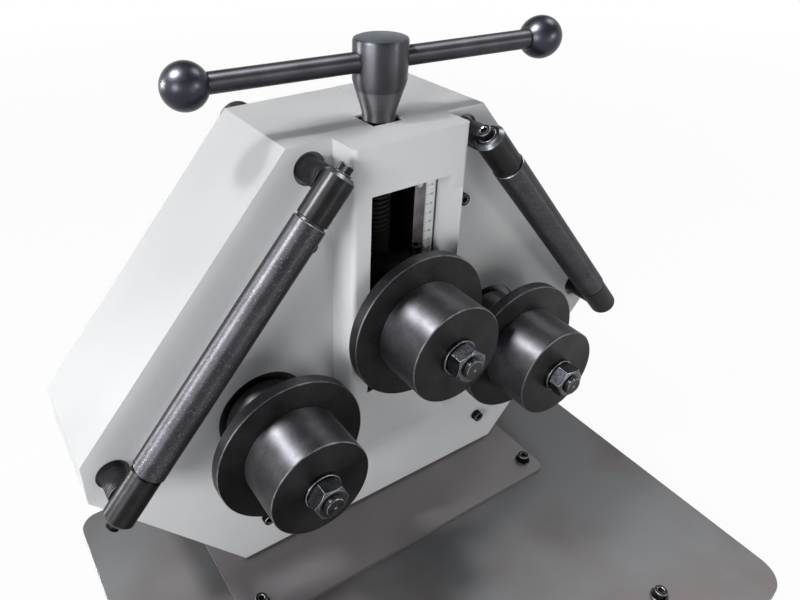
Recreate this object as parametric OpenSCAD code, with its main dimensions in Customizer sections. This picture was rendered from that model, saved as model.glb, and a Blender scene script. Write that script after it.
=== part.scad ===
// Ring roller with three overhung rollers, side guide rollers and a T-handle spindle.
// X runs to the right, Y from the front to the rear, Z up.
// The origin is on the underside of the table plate, below the front face of the cover.

/* [Plates] */
// Width of the table plate
table_w = 624; // [560:1:700]
// Middle of the table plate beside the machine's middle
table_off = -6.5; // [-10:0.5:10]
// Table plate in front of the cover
table_front = 322; // [280:1:360]
// Rear edge of the table plate
table_rear = 153.5; // [147:0.5:180]
// Thickness of the table plate
table_t = 10; // [8:0.5:14]
// Radius of the table plate's front corners
table_front_r = 30; // [20:1:45]
// Radius of the table plate's rear corners
table_rear_r = 20; // [15:1:45]
// Width of the base plate
base_w = 405; // [398:1:440]
// Middle of the base plate beside the machine's middle
base_off = -3; // [-4:0.5:4]
// Base plate in front of the cover
base_front = 76; // [72:1:90]
// Rear edge of the base plate
base_rear = 146; // [144:0.5:146]
// Thickness of the base plate
base_t = 5; // [4:0.5:8]
// Corner radius of the base plate
base_r = 10; // [6:1:16]
// Space under the cover's lower edge
cover_gap = 3; // [2:0.5:6]

/* [Housing] */
// Width across the short upright sides
house_w = 633; // [628:1:645]
// Width of the flat top
top_w = 213; // [205:1:225]
// Width of the foot
foot_w = 351; // [345:1:360]
// Height of the cover
house_h = 462.5; // [458:0.5:470]
// Height at which the upright sides start
side_low = 174.5; // [168:0.5:180]
// Height at which the upright sides end
side_high = 218; // [214:0.5:224]
// Depth of the cover
house_d = 120; // [118:1:130]
// Sheet thickness of the cover
sheet_t = 2.5; // [1.5:0.5:3]
// Clearance hole round each lower roller
roller_hole_d = 94; // [88:1:100]
// Clearance hole round each threaded rod
rod_hole_d = 31; // [28:0.5:34]

/* [Slide box] */
// Width of the box on the cover's front
box_w = 124; // [120:1:130]
// Projection of the box
box_d = 34; // [30:1:40]
// Radius of the box's upright edges
box_r = 5; // [4:0.5:8]
// Height where the box's lower end starts to slope back
box_slope_top = 132; // [120:1:140]
// Height where the slope meets the cover
box_slope_low = 70; // [60:1:85]
// Width of the window
window_w = 87; // [84:1:92]
// Top of the window, below the housing's top
window_down = 46.5; // [43:0.5:52]
// Bottom of the window
window_low = 200; // [190:1:206]
// Top of the cut-out beside the scale, below the window's top
notch_down = 15; // [10:1:30]
// Width of the spindle slot in the top
slot_w = 34; // [32:0.5:38]
// Front end of the spindle slot
slot_front = 4; // [3:0.5:5]
// Front end of the strip that closes the slot
strip_front = 36.5; // [36:0.5:40]

/* [Frame] */
// Thickness of the front plate
front_plate_t = 36; // [35:0.5:38]
// Thickness of the rear plate
rear_plate_t = 12; // [10:0.5:15]
// Width of the slideway in the front plate
slide_w = 60; // [58:0.5:62]
// Bottom of the slideway
slide_low = 205; // [198:1:210]
// Diameter of the tie bars between the plates
tie_d = 30; // [24:1:32]
// Lower tie bars to the side
tie_low_x = 90; // [80:1:100]
// Height of the lower tie bars
tie_low_h = 40; // [36:1:46]
// Upper tie bars to the side
tie_top_x = 112; // [108:1:120]
// Upper tie bars below the housing's top
tie_top_down = 64.5; // [60.5:0.5:72]
// Width of the wear strips beside the slideway
wear_w = 13; // [11:0.5:14]
// Thickness of the wear strips
wear_t = 2.5; // [2:0.25:3]
// Wear strips beyond the window's top
wear_rise = 8; // [2:0.5:9]
// Width of the scale
scale_w = 13; // [10:0.5:13]
// Thickness of the scale
scale_t = 1.2; // [0.8:0.1:1.5]
// Bottom of the scale
scale_low = 250; // [230:1:280]
// Height of the spindle bracket
bracket_h = 32; // [30:0.5:33]
// Width of the bracket's flange
bracket_w = 100; // [96:1:112]
// Thickness of the bracket's flange
bracket_t = 12; // [10:0.5:14]

/* [Rollers] */
// Distance between the lower shafts
lower_pitch = 285; // [284:0.5:288]
// Height of the lower shafts
lower_h = 195.5; // [193:0.5:197]
// Height of the upper shaft
upper_h = 279.5; // [278:0.5:284]
// Diameter of the flange rings
flange_d = 150; // [144:1:154]
// Width of the flange rings
flange_t = 11.5; // [10:0.5:13]
// Rear face of the flange rings, in front of the cover
flange_y = 47.5; // [46:0.5:50]
// Diameter of the front rings
front_ring_d = 98; // [92:0.5:102]
// Width of the front rings
front_ring_t = 51; // [46:0.5:54]
// Diameter of the rear rings
rear_ring_d = 80; // [74:0.5:82]
// Shaft diameter inside the rings
seat_d = 30; // [28:0.5:32]
// Shaft diameter in the bearings
journal_d = 35; // [34:0.5:36]
// Shaft diameter at the rear bearing of the lower shafts
rear_journal_d = 25; // [22:0.5:26]
// Thread diameter at the front end
thread_d = 20; // [18:0.5:22]
// Size of the roller nuts across flats
roller_nut_af = 30; // [28:0.5:32]
// Height of the roller nuts
roller_nut_h = 15; // [14:0.5:18]
// Outer diameter of the roller washers
roller_washer_d = 36; // [34:0.5:40]
// Thickness of the roller washers
roller_washer_t = 4; // [3:0.5:5]
// Thread that shows in front of the nut
thread_proud = 4; // [3:0.5:8]
// Outer diameter of the bearing bushes
bush_d = 45; // [43:0.5:48]
// Diameter of the bush flanges
bush_flange_d = 56; // [53:0.5:60]
// Thickness of the bush flanges
bush_flange_t = 3; // [2:0.5:3]

/* [Gears] */
// Tooth module
gear_module = 4; // [3.5:0.25:4.5]
// Teeth of the pinion
pinion_teeth = 24; // [22:1:25]
// Width of the teeth
gear_w = 25; // [20:1:30]
// Play between the tooth flanks
backlash = 0.3; // [0.2:0.05:0.4]
// Front face of the gears
gear_y = 62; // [61:0.5:66]
// Pinion shaft diameter in its bearings
drive_d = 22; // [20:0.5:24]
// Diameter of the pinion seat
pinion_seat_d = 26; // [25:0.5:28]

/* [Crank] */
// Crank radius
crank_r = 112; // [95:1:114]
// Width of the crank arm
crank_w = 28; // [24:1:32]
// Thickness of the crank arm
crank_t = 12; // [10:0.5:14]
// Diameter of the crank hub
crank_hub_d = 40; // [36:1:46]
// Length of the crank hub
crank_hub_l = 26; // [24:1:32]
// Largest diameter of the grip
grip_d = 29; // [26:1:31]
// Length of the grip
grip_l = 92; // [85:1:105]
// Diameter of the grip's shoulder screw
grip_pin_d = 10; // [8:0.5:12]

/* [Carriage] */
// Height of the carriage top above the upper shaft
carriage_up = 36.5; // [36:0.5:38]
// Carriage bottom below the upper shaft
carriage_down = 36.5; // [34:0.5:40]
// Width of the keeper plates
keeper_w = 85; // [82:0.5:85.5]
// Thickness of the keeper plates
keeper_t = 13.3; // [12:0.1:14]
// Keeper plates above the carriage top
keeper_rise = 11; // [8:0.5:12]
// Thickness of the spindle retainer
retainer_t = 8; // [7:0.5:9]
// Play of the slideway
slide_play = 0.15; // [0.1:0.05:0.2]

/* [Spindle] */
// Diameter of the spindle
spindle_d = 28; // [26:0.5:29]
// Depth of the spindle axis behind the cover's front face
spindle_y = 20.5; // [20:0.25:21]
// Diameter of the spindle's groove and top spigot
spindle_neck_d = 20; // [18:0.5:21]
// Thickness of the spindle's foot
foot_t = 9.5; // [8:0.5:10]
// Outer diameter of the spindle nut
spindle_nut_d = 42; // [40:0.5:44]
// Height of the spindle nut
spindle_nut_h = 26; // [22:0.5:27]
// Flange of the spindle nut
spindle_flange_d = 52; // [48:0.5:56]

/* [Handle] */
// Hub's top above the housing
hub_rise = 71.5; // [68:0.5:80]
// Diameter of the hub
hub_d = 49; // [46:0.5:52]
// Upper end of the hub's cone above the housing
cone_top_rise = 36; // [34:0.5:39]
// Lower end of the hub's cone above the housing
cone_low_rise = 6; // [4.5:0.5:9]
// Diameter of the neck
hub_neck_d = 30.7; // [29:0.1:32]
// Tommy bar's axis above the housing
tommy_rise = 52.5; // [51:0.5:55]
// Diameter of the tommy bar
tommy_d = 18; // [16:0.5:20]
// Distance between the ball centres
ball_pitch = 345; // [320:1:370]
// Diameter of the balls
ball_d = 40; // [36:0.5:42]
// Turn of the tommy bar from the cover's front face
tommy_turn = -6.55; // [-20:0.05:20]

/* [Guide rollers] */
// Upper threaded rods inside the ends of the flat top
rod_top_in = 22; // [20.5:0.25:22.5]
// Upper threaded rods below the housing's top
rod_top_down = 22.7; // [21.5:0.1:25.5]
// Lower threaded rods inside the upright sides
rod_low_in = 25.5; // [24.5:0.5:27.5]
// Lower threaded rods above the start of the upright sides
rod_low_up = 22.2; // [18.5:0.1:24.5]
// Diameter of the threaded rods
rod_d = 24; // [22:0.5:25]
// Diameter of the rods inside the end blocks
rod_journal_d = 18; // [17:0.5:19]
// Guide roller axis in front of the cover
guide_y = 39; // [37:0.5:42]
// Diameter of the guide rollers
guide_d = 31; // [28:0.5:34]
// Length of the guide rollers
guide_l = 248; // [240:1:252]
// Diameter of the end blocks
block_d = 29; // [28:0.5:31]
// Upper end block beyond its rod
block_top_l = 11; // [10:0.5:11]
// Lower end block beyond its rod
block_low_l = 16.5; // [14:0.5:20]
// Diameter of the axle bolt
axle_d = 12; // [10:0.5:12.5]
// Head diameter of the axle bolt
axle_head_d = 17; // [15:0.5:18]
// Height of the axle bolt's head
axle_head_h = 7; // [6:0.5:9]
// Diameter of the axle washer
axle_washer_d = 21; // [19:0.5:22]
// Thickness of the axle washer
axle_washer_t = 1.5; // [1:0.25:2]
// Thread of the axle bolt beyond the lower block
axle_proud = 8; // [5:0.5:12]
// Diameter of the rear knobs
knob_d = 38; // [34:0.5:40]
// Length of the rear knobs
knob_l = 26; // [22:0.5:28]
// Rear end of the threaded rods
rod_rear = 152; // [150:0.5:156]

/* [Screws] */
// Upper cover screws to the side
cover_screw_top_x = 88; // [84:1:92]
// Upper cover screws below the housing's top
cover_screw_top_down = 94.5; // [90:0.5:103]
// Lower cover screws to the side
cover_screw_low_x = 147; // [140:1:150]
// Height of the lower cover screws
cover_screw_low_h = 50; // [44:1:54]
// Shank diameter of the cover screws
screw_d = 8; // [6:0.5:9]
// Shank diameter of the tie bar screws
tie_screw_d = 12; // [10:0.5:13]
// Shank diameter of the small screws
small_screw_d = 4; // [3:0.5:4.5]
// Base plate screws to the side
plate_screw_x = 184; // [180:1:188]
// Front base plate screws behind the plate's front edge
plate_screw_in = 21.5; // [18:0.5:26]
// Rear base plate screws in front of the plate's rear edge
plate_screw_rear_in = 13; // [11:0.5:18]
// Front table screws beside the table plate's middle
table_screw_x = 180.5; // [170:0.5:190]
// Front table screws in front of the cover
table_screw_y = 261; // [250:1:270]

/* [Hidden] */

$fn = 72;

// Clearances and overruns that many pieces share
fit_gap = 0.05;
face_gap = 0.3;
over = 1;
left = -1;
right = 1;

// Screw heads follow their shanks: width, height and socket as shares of the shank
head_d_share = 1.625;
socket_af_share = 0.75;
socket_depth_share = 0.5;
washer_d_share = 2.25;
washer_t_share = 0.2;
nut_af_share = 1.5;
nut_h_share = 0.8;

// Heights of the plates and of the housing
base_z = table_t;
base_top = table_t + base_t;
body_z = base_top + cover_gap;
half_w = house_w / 2;
half_top = top_w / 2;
half_foot = foot_w / 2;
top_z = body_z + house_h;

// Depths of the frame plates
front_y0 = sheet_t;
front_y1 = front_y0 + front_plate_t;
rear_y1 = house_d;
rear_y0 = rear_y1 - rear_plate_t;
frame_gap = sheet_t + face_gap;

// Places beside the middle and above the housing's foot: tie bars, cover screws, threaded rods
rod_top_x = half_top - rod_top_in;
rod_top_h = house_h - rod_top_down;
rod_low_x = half_w - rod_low_in;
rod_low_h = side_low + rod_low_up;
tie_places = [[tie_low_x, tie_low_h], [tie_top_x, house_h - tie_top_down]];
cover_screw_places = [
    [cover_screw_top_x, house_h - cover_screw_top_down],
    [cover_screw_low_x, cover_screw_low_h]];
rod_places = [[rod_top_x, rod_top_h], [rod_low_x, rod_low_h]];

// Slideway
slide_half = slide_w / 2;
slide_z = body_z + slide_low;
window_z1 = top_z - window_down;
wear_z1 = window_z1 + wear_rise;
way_y0 = front_y0 - wear_t;
way_y1 = front_y1 + wear_t;
bracket_z1 = top_z - frame_gap;
bracket_z0 = bracket_z1 - bracket_h;

// Roller axes and their lengthwise steps, from the front end to the rear
lower_x = lower_pitch / 2;
lower_z = body_z + lower_h;
upper_z = body_z + upper_h;
ring_y0 = -flange_y - flange_t - front_ring_t;
flange_y0 = -flange_y - flange_t;
washer_y0 = ring_y0 - roller_washer_t;
nut_y0 = washer_y0 - roller_nut_h;
tip_y = nut_y0 - thread_proud;
lower_shoulder_y = front_y0 - bush_flange_t - face_gap;
keeper_y0 = way_y0 - slide_play - keeper_t;
keeper_y1 = way_y1 + slide_play + keeper_t;
upper_shoulder_y = keeper_y0 - bush_flange_t - face_gap;
upper_rear_y = keeper_y1 + bush_flange_t;
ring_bore_r = seat_d / 2 + fit_gap;
ring_chamfer = flange_t / 8;
key_w = seat_d * 8 / 30;
key_h = key_w / 2;
shaft_chamfer = thread_d / 13;
rear_washer_t = roller_washer_t;
rear_bolt_h = 7 * rear_journal_d / 25;
rear_bolt_af = 17 * rear_journal_d / 25;

// Gear train
mesh_share = 1.035;
gear_teeth = ceil(lower_pitch * mesh_share / gear_module) - pinion_teeth;
gear_r = gear_module * gear_teeth / 2;
pinion_r = gear_module * pinion_teeth / 2;
centre_distance = gear_r + pinion_r;
drive_z = lower_z - sqrt(pow(centre_distance, 2) - pow(lower_x, 2));
mesh_angle = atan2(lower_z - drive_z, lower_x);
tooth_pressure = 20;
root_share = 1.25;
flank_steps = 3;
pinion_offset = (90 - mesh_angle) * pinion_teeth / 360;
pinion_phase = pinion_offset - round(pinion_offset);
gear_turn = mesh_angle + 180 + (0.5 - pinion_phase) * 360 / gear_teeth;
gear_y1 = gear_y + gear_w;
web_share = 0.45;
gear_hub_share = 0.3;
gear_rim_share = 0.84;
drive_bush_d = drive_d * 1.45;
drive_y0 = front_y0 + front_plate_t / 4;

// Crank
crank_y0 = rear_y1 + bush_flange_t + face_gap + crank_t / 3;
crank_y1 = crank_y0 + crank_hub_l;
arm_y0 = crank_y0 + (crank_hub_l - crank_t) / 2;
arm_y1 = arm_y0 + crank_t;
crank_seat_d = drive_d * 10 / 11;
crank_thread_d = drive_d * 8 / 11;
grip_y0 = arm_y1 + face_gap;
grip_y1 = grip_y0 + grip_l;

// Carriage and spindle
carriage_z0 = upper_z - carriage_down;
carriage_z1 = upper_z + carriage_up;
carriage_half = slide_half - slide_play;
carriage_y0 = way_y0 - slide_play;
carriage_y1 = way_y1 + slide_play;
keeper_z1 = carriage_z1 + keeper_rise;
retainer_z1 = carriage_z1 + retainer_t;
retainer_half_x = carriage_half - slide_play;
retainer_half_y = front_plate_t * 0.45;
retainer_screw_x = carriage_half * 0.64;
retainer_screw_y = retainer_half_y / 2;
retainer_bore_l = screw_d * 1.2;
keeper_screw_x = carriage_half;
foot_z0 = carriage_z1 - foot_t;
nut_flange_t = bracket_h / 6;
nut_z0 = bracket_z0 - nut_flange_t;
cone_z0 = top_z + cone_low_rise;
cone_z1 = top_z + cone_top_rise;
spindle_top = cone_z0 + (cone_z1 - cone_z0) * 0.9;
neck_low = cone_z0 - hub_neck_d * 0.2;

// Guide rollers: their axis runs through both rods
guide_angle = atan2(rod_top_h - rod_low_h, rod_low_x - rod_top_x);
guide_half = norm([rod_low_x - rod_top_x, rod_top_h - rod_low_h]) / 2;
guide_x = (rod_low_x + rod_top_x) / 2;
guide_z = body_z + (rod_low_h + rod_top_h) / 2;
sleeve_half = guide_l / 2;
collar_t = block_d / 14;
block_s0 = sleeve_half + collar_t + face_gap;
block_top = guide_half + block_top_l;
block_low = guide_half + block_low_l;
block_top_chamfer = block_d / 9;
block_low_chamfer = block_d / 7;
block_edge = block_d / 40;
seat_depth = block_d * 0.1;
rod_seat_y = -guide_y + block_d / 2 - seat_depth;
rod_tip_y = -guide_y - block_d * 0.2;
knob_y0 = rear_y1 + face_gap;
knob_y1 = knob_y0 + knob_l;
knob_neck_l = knob_l / 6;

// Outline of the housing, drawn in by the distance d and running down to the height low
function lean_low(d) = half_foot - d * norm([half_w - half_foot, side_low]) / side_low;
function lean_high(z, d) = half_w - (z - side_high) * (half_w - half_top) / (house_h - side_high)
    - d * norm([half_w - half_top, house_h - side_high]) / (house_h - side_high);
function corner_low(d) = (half_w - d - lean_low(d)) * side_low / (half_w - half_foot);
function corner_high(d) = side_high + (d - d * norm([half_w - half_top, house_h - side_high])
    / (house_h - side_high)) * (house_h - side_high) / (half_w - half_top);
function half_outline(d, low) = [
    [lean_low(d), low],
    [lean_low(d), body_z],
    [half_w - d, body_z + corner_low(d)],
    [half_w - d, body_z + corner_high(d)],
    [lean_high(house_h - d, d), top_z - d]];
function mirrored(points) = [for (i = [len(points) - 1:-1:0]) [-points[i][0], points[i][1]]];
function outline(d, low) = concat(half_outline(d, low), mirrored(half_outline(d, low)));

// Extrude an outline drawn in X and Z from depth y0 to depth y1
module along_y(y0, y1) {
    translate([0, y1, 0]) rotate([90, 0, 0]) linear_extrude(y1 - y0) children();
}

// Round bar along Y
module bar_y(x, z, r, y0, y1) {
    translate([x, y1, z]) rotate([90, 0, 0]) cylinder(r = r, h = y1 - y0);
}

// Solid of revolution along Y: each point of the profile is a radius and a depth
module turned_y(x, z, profile) {
    translate([x, 0, z]) rotate([-90, 0, 0]) rotate_extrude() polygon(profile);
}

// Ring along Y with chamfered edges
module ring_y(x, z, r, bore, y0, y1, chamfer) {
    turned_y(x, z, [[bore, y0], [r - chamfer, y0], [r, y0 + chamfer],
        [r, y1 - chamfer], [r - chamfer, y1], [bore, y1]]);
}

// Cap screw pointing down from z = 0, with its head above
module cap_screw(d, length) {
    difference() {
        union() {
            cylinder(d = d * head_d_share, h = d);
            translate([0, 0, -length]) cylinder(d = d, h = length);
        }
        translate([0, 0, d * (1 - socket_depth_share)])
            cylinder(d = d * socket_af_share / cos(30), h = d, $fn = 6);
    }
}

module washer(d) {
    difference() {
        cylinder(d = d * washer_d_share, h = d * washer_t_share);
        translate([0, 0, -over]) cylinder(d = d + 2 * fit_gap, h = d + 2 * over);
    }
}

module facing_front(x, y, z) {
    translate([x, y, z]) rotate([90, 0, 0]) children();
}

module facing_rear(x, y, z) {
    translate([x, y, z]) rotate([-90, 0, 0]) children();
}

// Plate from z = 0 up, with front corners of radius r0 and rear corners of radius r1
module rounded_plate(half, y0, y1, r0, r1, t) {
    middle = (y0 + y1) / 2;
    translate([-half + r0, y0, 0]) cube([2 * (half - r0), middle - y0, t]);
    translate([-half + r1, middle, 0]) cube([2 * (half - r1), y1 - middle, t]);
    translate([-half, y0 + r0, 0]) cube([2 * half, y1 - r1 - y0 - r0, t]);
    for (s = [-1, 1]) {
        translate([s * (half - r0), y0 + r0, 0]) cylinder(r = r0, h = t);
        translate([s * (half - r1), y1 - r1, 0]) cylinder(r = r1, h = t);
    }
}

// Places of the screws that hold the base plate and the table plate
plate_screw_places = [
    for (x = [-plate_screw_x, plate_screw_x])
        for (y = [-base_front + plate_screw_in, base_rear - plate_screw_rear_in]) [x, y]];
table_screw_places = [for (s = [-1, 1]) [table_off + s * table_screw_x, -table_screw_y]];
foot_screw_x = half_foot * 0.7;
foot_screw_places = [
    for (x = [-foot_screw_x, 0, foot_screw_x])
        for (y = [(front_y0 + front_y1) / 2, (rear_y0 + rear_y1) / 2]) [x, y]];
foot_screw_d = rear_plate_t / 2;
foot_head_d = foot_screw_d * 2;
foot_screw_l = foot_screw_d * 4;

module table_plate() {
    color("dimgray") difference() {
        translate([table_off, 0, 0])
            rounded_plate(table_w / 2, -table_front, table_rear, table_front_r, table_rear_r, table_t);
        for (p = concat(plate_screw_places, table_screw_places))
            translate([p[0], p[1], -over]) cylinder(r = screw_d / 2 + fit_gap, h = table_t + 2 * over);
    }
}

module base_plate() {
    color("gray") difference() {
        translate([base_off, 0, base_z])
            rounded_plate(base_w / 2, -base_front, base_rear, base_r, base_r, base_t);
        for (p = plate_screw_places)
            translate([p[0], p[1], 0]) cylinder(r = screw_d / 2 + fit_gap, h = base_top + over);
        for (p = foot_screw_places)
            translate([p[0], p[1], 0]) {
                cylinder(r = foot_screw_d / 2 + fit_gap, h = base_top + over);
                cylinder(r = foot_head_d / 2 + fit_gap, h = base_z + base_t / 2);
            }
    }
}

module screw_with_washer(x, y, z, length) {
    translate([x, y, z]) {
        washer(screw_d);
        translate([0, 0, screw_d * washer_t_share + fit_gap])
            cap_screw(screw_d, length + screw_d * washer_t_share + fit_gap);
    }
}

module plate_screws() {
    color("black") {
        for (p = plate_screw_places) screw_with_washer(p[0], p[1], base_top, base_top);
        for (p = table_screw_places) screw_with_washer(p[0], p[1], table_t, table_t);
    }
}

module slide_box(inset) {
    half = box_w / 2 - inset;
    front = -box_d + inset;
    r = box_r - inset;
    drop = inset * norm([box_d, box_slope_top - box_slope_low]) / box_d;
    reach = inset > 0 ? sheet_t + over : 0;
    intersection() {
        linear_extrude(top_z - inset) union() {
            translate([-half + r, front]) square([2 * (half - r), r]);
            translate([-half, front + r]) square([2 * half, reach - front - r]);
            for (x = [-half + r, half - r]) translate([x, front + r]) circle(r);
        }
        rotate([90, 0, 90]) translate([0, 0, -half]) linear_extrude(2 * half) polygon([
            [reach, body_z + box_slope_low + drop],
            [0, body_z + box_slope_low + drop],
            [front, body_z + box_slope_top + drop],
            [front, top_z],
            [reach, top_z]]);
    }
}

module cover() {
    window_half = window_w / 2;
    color("whitesmoke") difference() {
        union() {
            along_y(0, house_d) polygon(outline(0, body_z));
            slide_box(0);
        }
        along_y(sheet_t, house_d + over) polygon(outline(sheet_t, body_z - over));
        slide_box(sheet_t);
        for (x = [-lower_x, lower_x]) bar_y(x, lower_z, roller_hole_d / 2, -over, sheet_t + over);
        for (side = [left, right], p = rod_places)
            bar_y(side * p[0], body_z + p[1], rod_hole_d / 2, -over, sheet_t + over);
        for (side = [left, right], p = cover_screw_places)
            bar_y(side * p[0], body_z + p[1], screw_d / 2 + fit_gap, -over, sheet_t + over);
        translate([-window_half, -box_d - over, body_z + window_low])
            cube([window_w, sheet_t + 2 * over, window_z1 - body_z - window_low]);
        translate([0, -box_d - over, body_z + window_low])
            cube([box_w / 2 - sheet_t, sheet_t + 2 * over, window_z1 - notch_down - body_z - window_low]);
        translate([-slot_w / 2, slot_front, top_z - sheet_t - over])
            cube([slot_w, house_d, sheet_t + 2 * over]);
    }
}

module cover_screws() {
    color("black")
        for (side = [left, right], p = cover_screw_places)
            facing_front(side * p[0], 0, body_z + p[1]) cap_screw(screw_d, sheet_t + front_plate_t / 2);
}

module top_strip() {
    color("whitesmoke")
        translate([-slot_w / 2 + fit_gap * 4, strip_front, bracket_z1])
            cube([slot_w - fit_gap * 8, house_d - strip_front, top_z - bracket_z1]);
}

// Holes that both frame plates share
module rod_bores(y0, y1) {
    for (side = [left, right], p = rod_places)
        bar_y(side * p[0], body_z + p[1], rod_d / 2 + fit_gap, y0 - over, y1 + over);
}

module foot_bores() {
    for (p = foot_screw_places)
        translate([p[0], p[1], base_top - over])
            cylinder(r = foot_screw_d / 2 + fit_gap, h = foot_screw_l - base_t / 2 + over);
}

tie_head_d = tie_screw_d * head_d_share;
tie_bore_l = tie_screw_d * 2;
bracket_screw_x = (slide_half + bracket_w / 2) / 2;
bracket_screw_z = [bracket_z0 + bracket_h * 0.25, bracket_z0 + bracket_h * 0.75];
bracket_screw_d = screw_d * 0.75;

module front_plate() {
    color("slategray") difference() {
        along_y(front_y0, front_y1) polygon(outline(frame_gap, base_top));
        translate([-slide_half, front_y0 - over, slide_z])
            cube([slide_w, front_plate_t + 2 * over, top_z]);
        for (x = [-lower_x, lower_x]) bar_y(x, lower_z, bush_d / 2, front_y0 - over, front_y1 + over);
        bar_y(0, drive_z, drive_bush_d / 2, drive_y0, front_y1 + over);
        rod_bores(front_y0, front_y1);
        foot_bores();
        for (side = [left, right], p = cover_screw_places)
            bar_y(side * p[0], body_z + p[1], screw_d / 2 + fit_gap,
                front_y0 - over, front_y0 + front_plate_t / 2 + over);
        for (side = [left, right], p = tie_places) {
            bar_y(side * p[0], body_z + p[1], tie_screw_d / 2 + fit_gap, front_y0, front_y1 + over);
            bar_y(side * p[0], body_z + p[1], tie_head_d / 2 + fit_gap,
                front_y0 - over, front_y0 + tie_screw_d);
        }
        for (x = [-bracket_screw_x, bracket_screw_x], z = bracket_screw_z)
            bar_y(x, z, bracket_screw_d / 2 + fit_gap,
                front_y0 - over, front_y0 + front_plate_t / 2 + over);
        for (p = strip_screw_places) bar_y(p[0], p[1], small_screw_d / 2 + fit_gap,
            front_y0 - over, front_y0 + strip_screw_l);
    }
}

module rear_plate() {
    color("slategray") difference() {
        along_y(rear_y0, rear_y1) polygon(outline(frame_gap, base_top));
        for (x = [-lower_x, lower_x])
            bar_y(x, lower_z, bush_d * 0.4, rear_y0 - over, rear_y1 + over);
        bar_y(0, drive_z, drive_bush_d / 2, rear_y0 - over, rear_y1 + over);
        rod_bores(rear_y0, rear_y1);
        foot_bores();
        for (side = [left, right], p = tie_places)
            bar_y(side * p[0], body_z + p[1], tie_screw_d / 2 + fit_gap, rear_y0 - over, rear_y1 + over);
    }
}

module tie_bars() {
    color("silver")
        for (side = [left, right], p = tie_places) difference() {
            bar_y(side * p[0], body_z + p[1], tie_d / 2, front_y1, rear_y0);
            bar_y(side * p[0], body_z + p[1], tie_screw_d / 2 + fit_gap,
                front_y1 - over, front_y1 + tie_bore_l);
            bar_y(side * p[0], body_z + p[1], tie_screw_d / 2 + fit_gap,
                rear_y0 - tie_bore_l, rear_y0 + over);
        }
}

module frame_screws() {
    color("black") {
        for (side = [left, right], p = tie_places) {
            facing_front(side * p[0], front_y0 + tie_screw_d, body_z + p[1])
                cap_screw(tie_screw_d, front_plate_t - tie_screw_d + tie_bore_l - over);
            facing_rear(side * p[0], rear_y1, body_z + p[1])
                cap_screw(tie_screw_d, rear_plate_t + tie_bore_l - over);
        }
        for (x = [-bracket_screw_x, bracket_screw_x], z = bracket_screw_z)
            facing_front(x, front_y0 - bracket_t, z)
                cap_screw(bracket_screw_d, bracket_t + front_plate_t / 2);
        for (p = foot_screw_places) translate([p[0], p[1], base_z]) {
            cylinder(d = foot_head_d, h = base_t / 2);
            cylinder(d = foot_screw_d, h = foot_screw_l);
        }
    }
}

wear_x = slide_half + wear_w / 2;
strip_screw_l = small_screw_d * 3;
strip_screw_z = [slide_z + wear_w, (slide_z + wear_z1) / 2, wear_z1 - wear_w * 2.2];
strip_screw_places = [for (x = [-wear_x, wear_x], z = strip_screw_z) [x, z]];

module slide_strips() {
    color("darkslategray") difference() {
        for (x = [-wear_x, wear_x], y = [way_y0, front_y1])
            translate([x - wear_w / 2, y, slide_z]) cube([wear_w, wear_t, wear_z1 - slide_z]);
        for (p = strip_screw_places)
            bar_y(p[0], p[1], small_screw_d / 2 + fit_gap, way_y0 - over, front_y0 + over);
        for (p = strip_screw_places)
            bar_y(p[0], p[1], small_screw_d * 0.9 + fit_gap, way_y0 - over, way_y0 + wear_t * 0.6);
    }
}

module strip_screws() {
    color("gainsboro")
        for (p = strip_screw_places) {
            bar_y(p[0], p[1], small_screw_d * 0.9, way_y0 + wear_t * 0.1, way_y0 + wear_t * 0.6);
            bar_y(p[0], p[1], small_screw_d / 2, way_y0 + wear_t * 0.1, front_y0 + strip_screw_l * 0.9);
        }
}

module scale_strip() {
    color("white")
        translate([slide_half + wear_w, front_y0 - scale_t, body_z + scale_low])
            cube([scale_w, scale_t, wear_z1 - body_z - scale_low]);
}

module spindle_bracket() {
    color("slategray") difference() {
        union() {
            translate([-slide_half, front_y0, bracket_z0]) cube([slide_w, front_plate_t, bracket_h]);
            translate([-bracket_w / 2, front_y0 - bracket_t, bracket_z0])
                cube([bracket_w, bracket_t, bracket_h]);
        }
        translate([0, spindle_y, bracket_z0 - over]) cylinder(d = spindle_nut_d, h = bracket_h + 2 * over);
        for (x = [-bracket_screw_x, bracket_screw_x], z = bracket_screw_z)
            bar_y(x, z, bracket_screw_d / 2 + fit_gap, front_y0 - bracket_t - over, front_y0 + over);
    }
}

module spindle_nut() {
    color("goldenrod") difference() {
        union() {
            translate([0, spindle_y, nut_z0]) cylinder(d = spindle_nut_d, h = spindle_nut_h);
            translate([0, spindle_y, nut_z0]) cylinder(d = spindle_flange_d, h = nut_flange_t);
        }
        translate([0, spindle_y, nut_z0 - over])
            cylinder(r = spindle_d / 2 + fit_gap, h = spindle_nut_h + 2 * over);
    }
}

rear_bush_r = bush_d * 0.4;
rear_bush_flange_r = rear_bush_r + bush_flange_t * 2;

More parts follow.
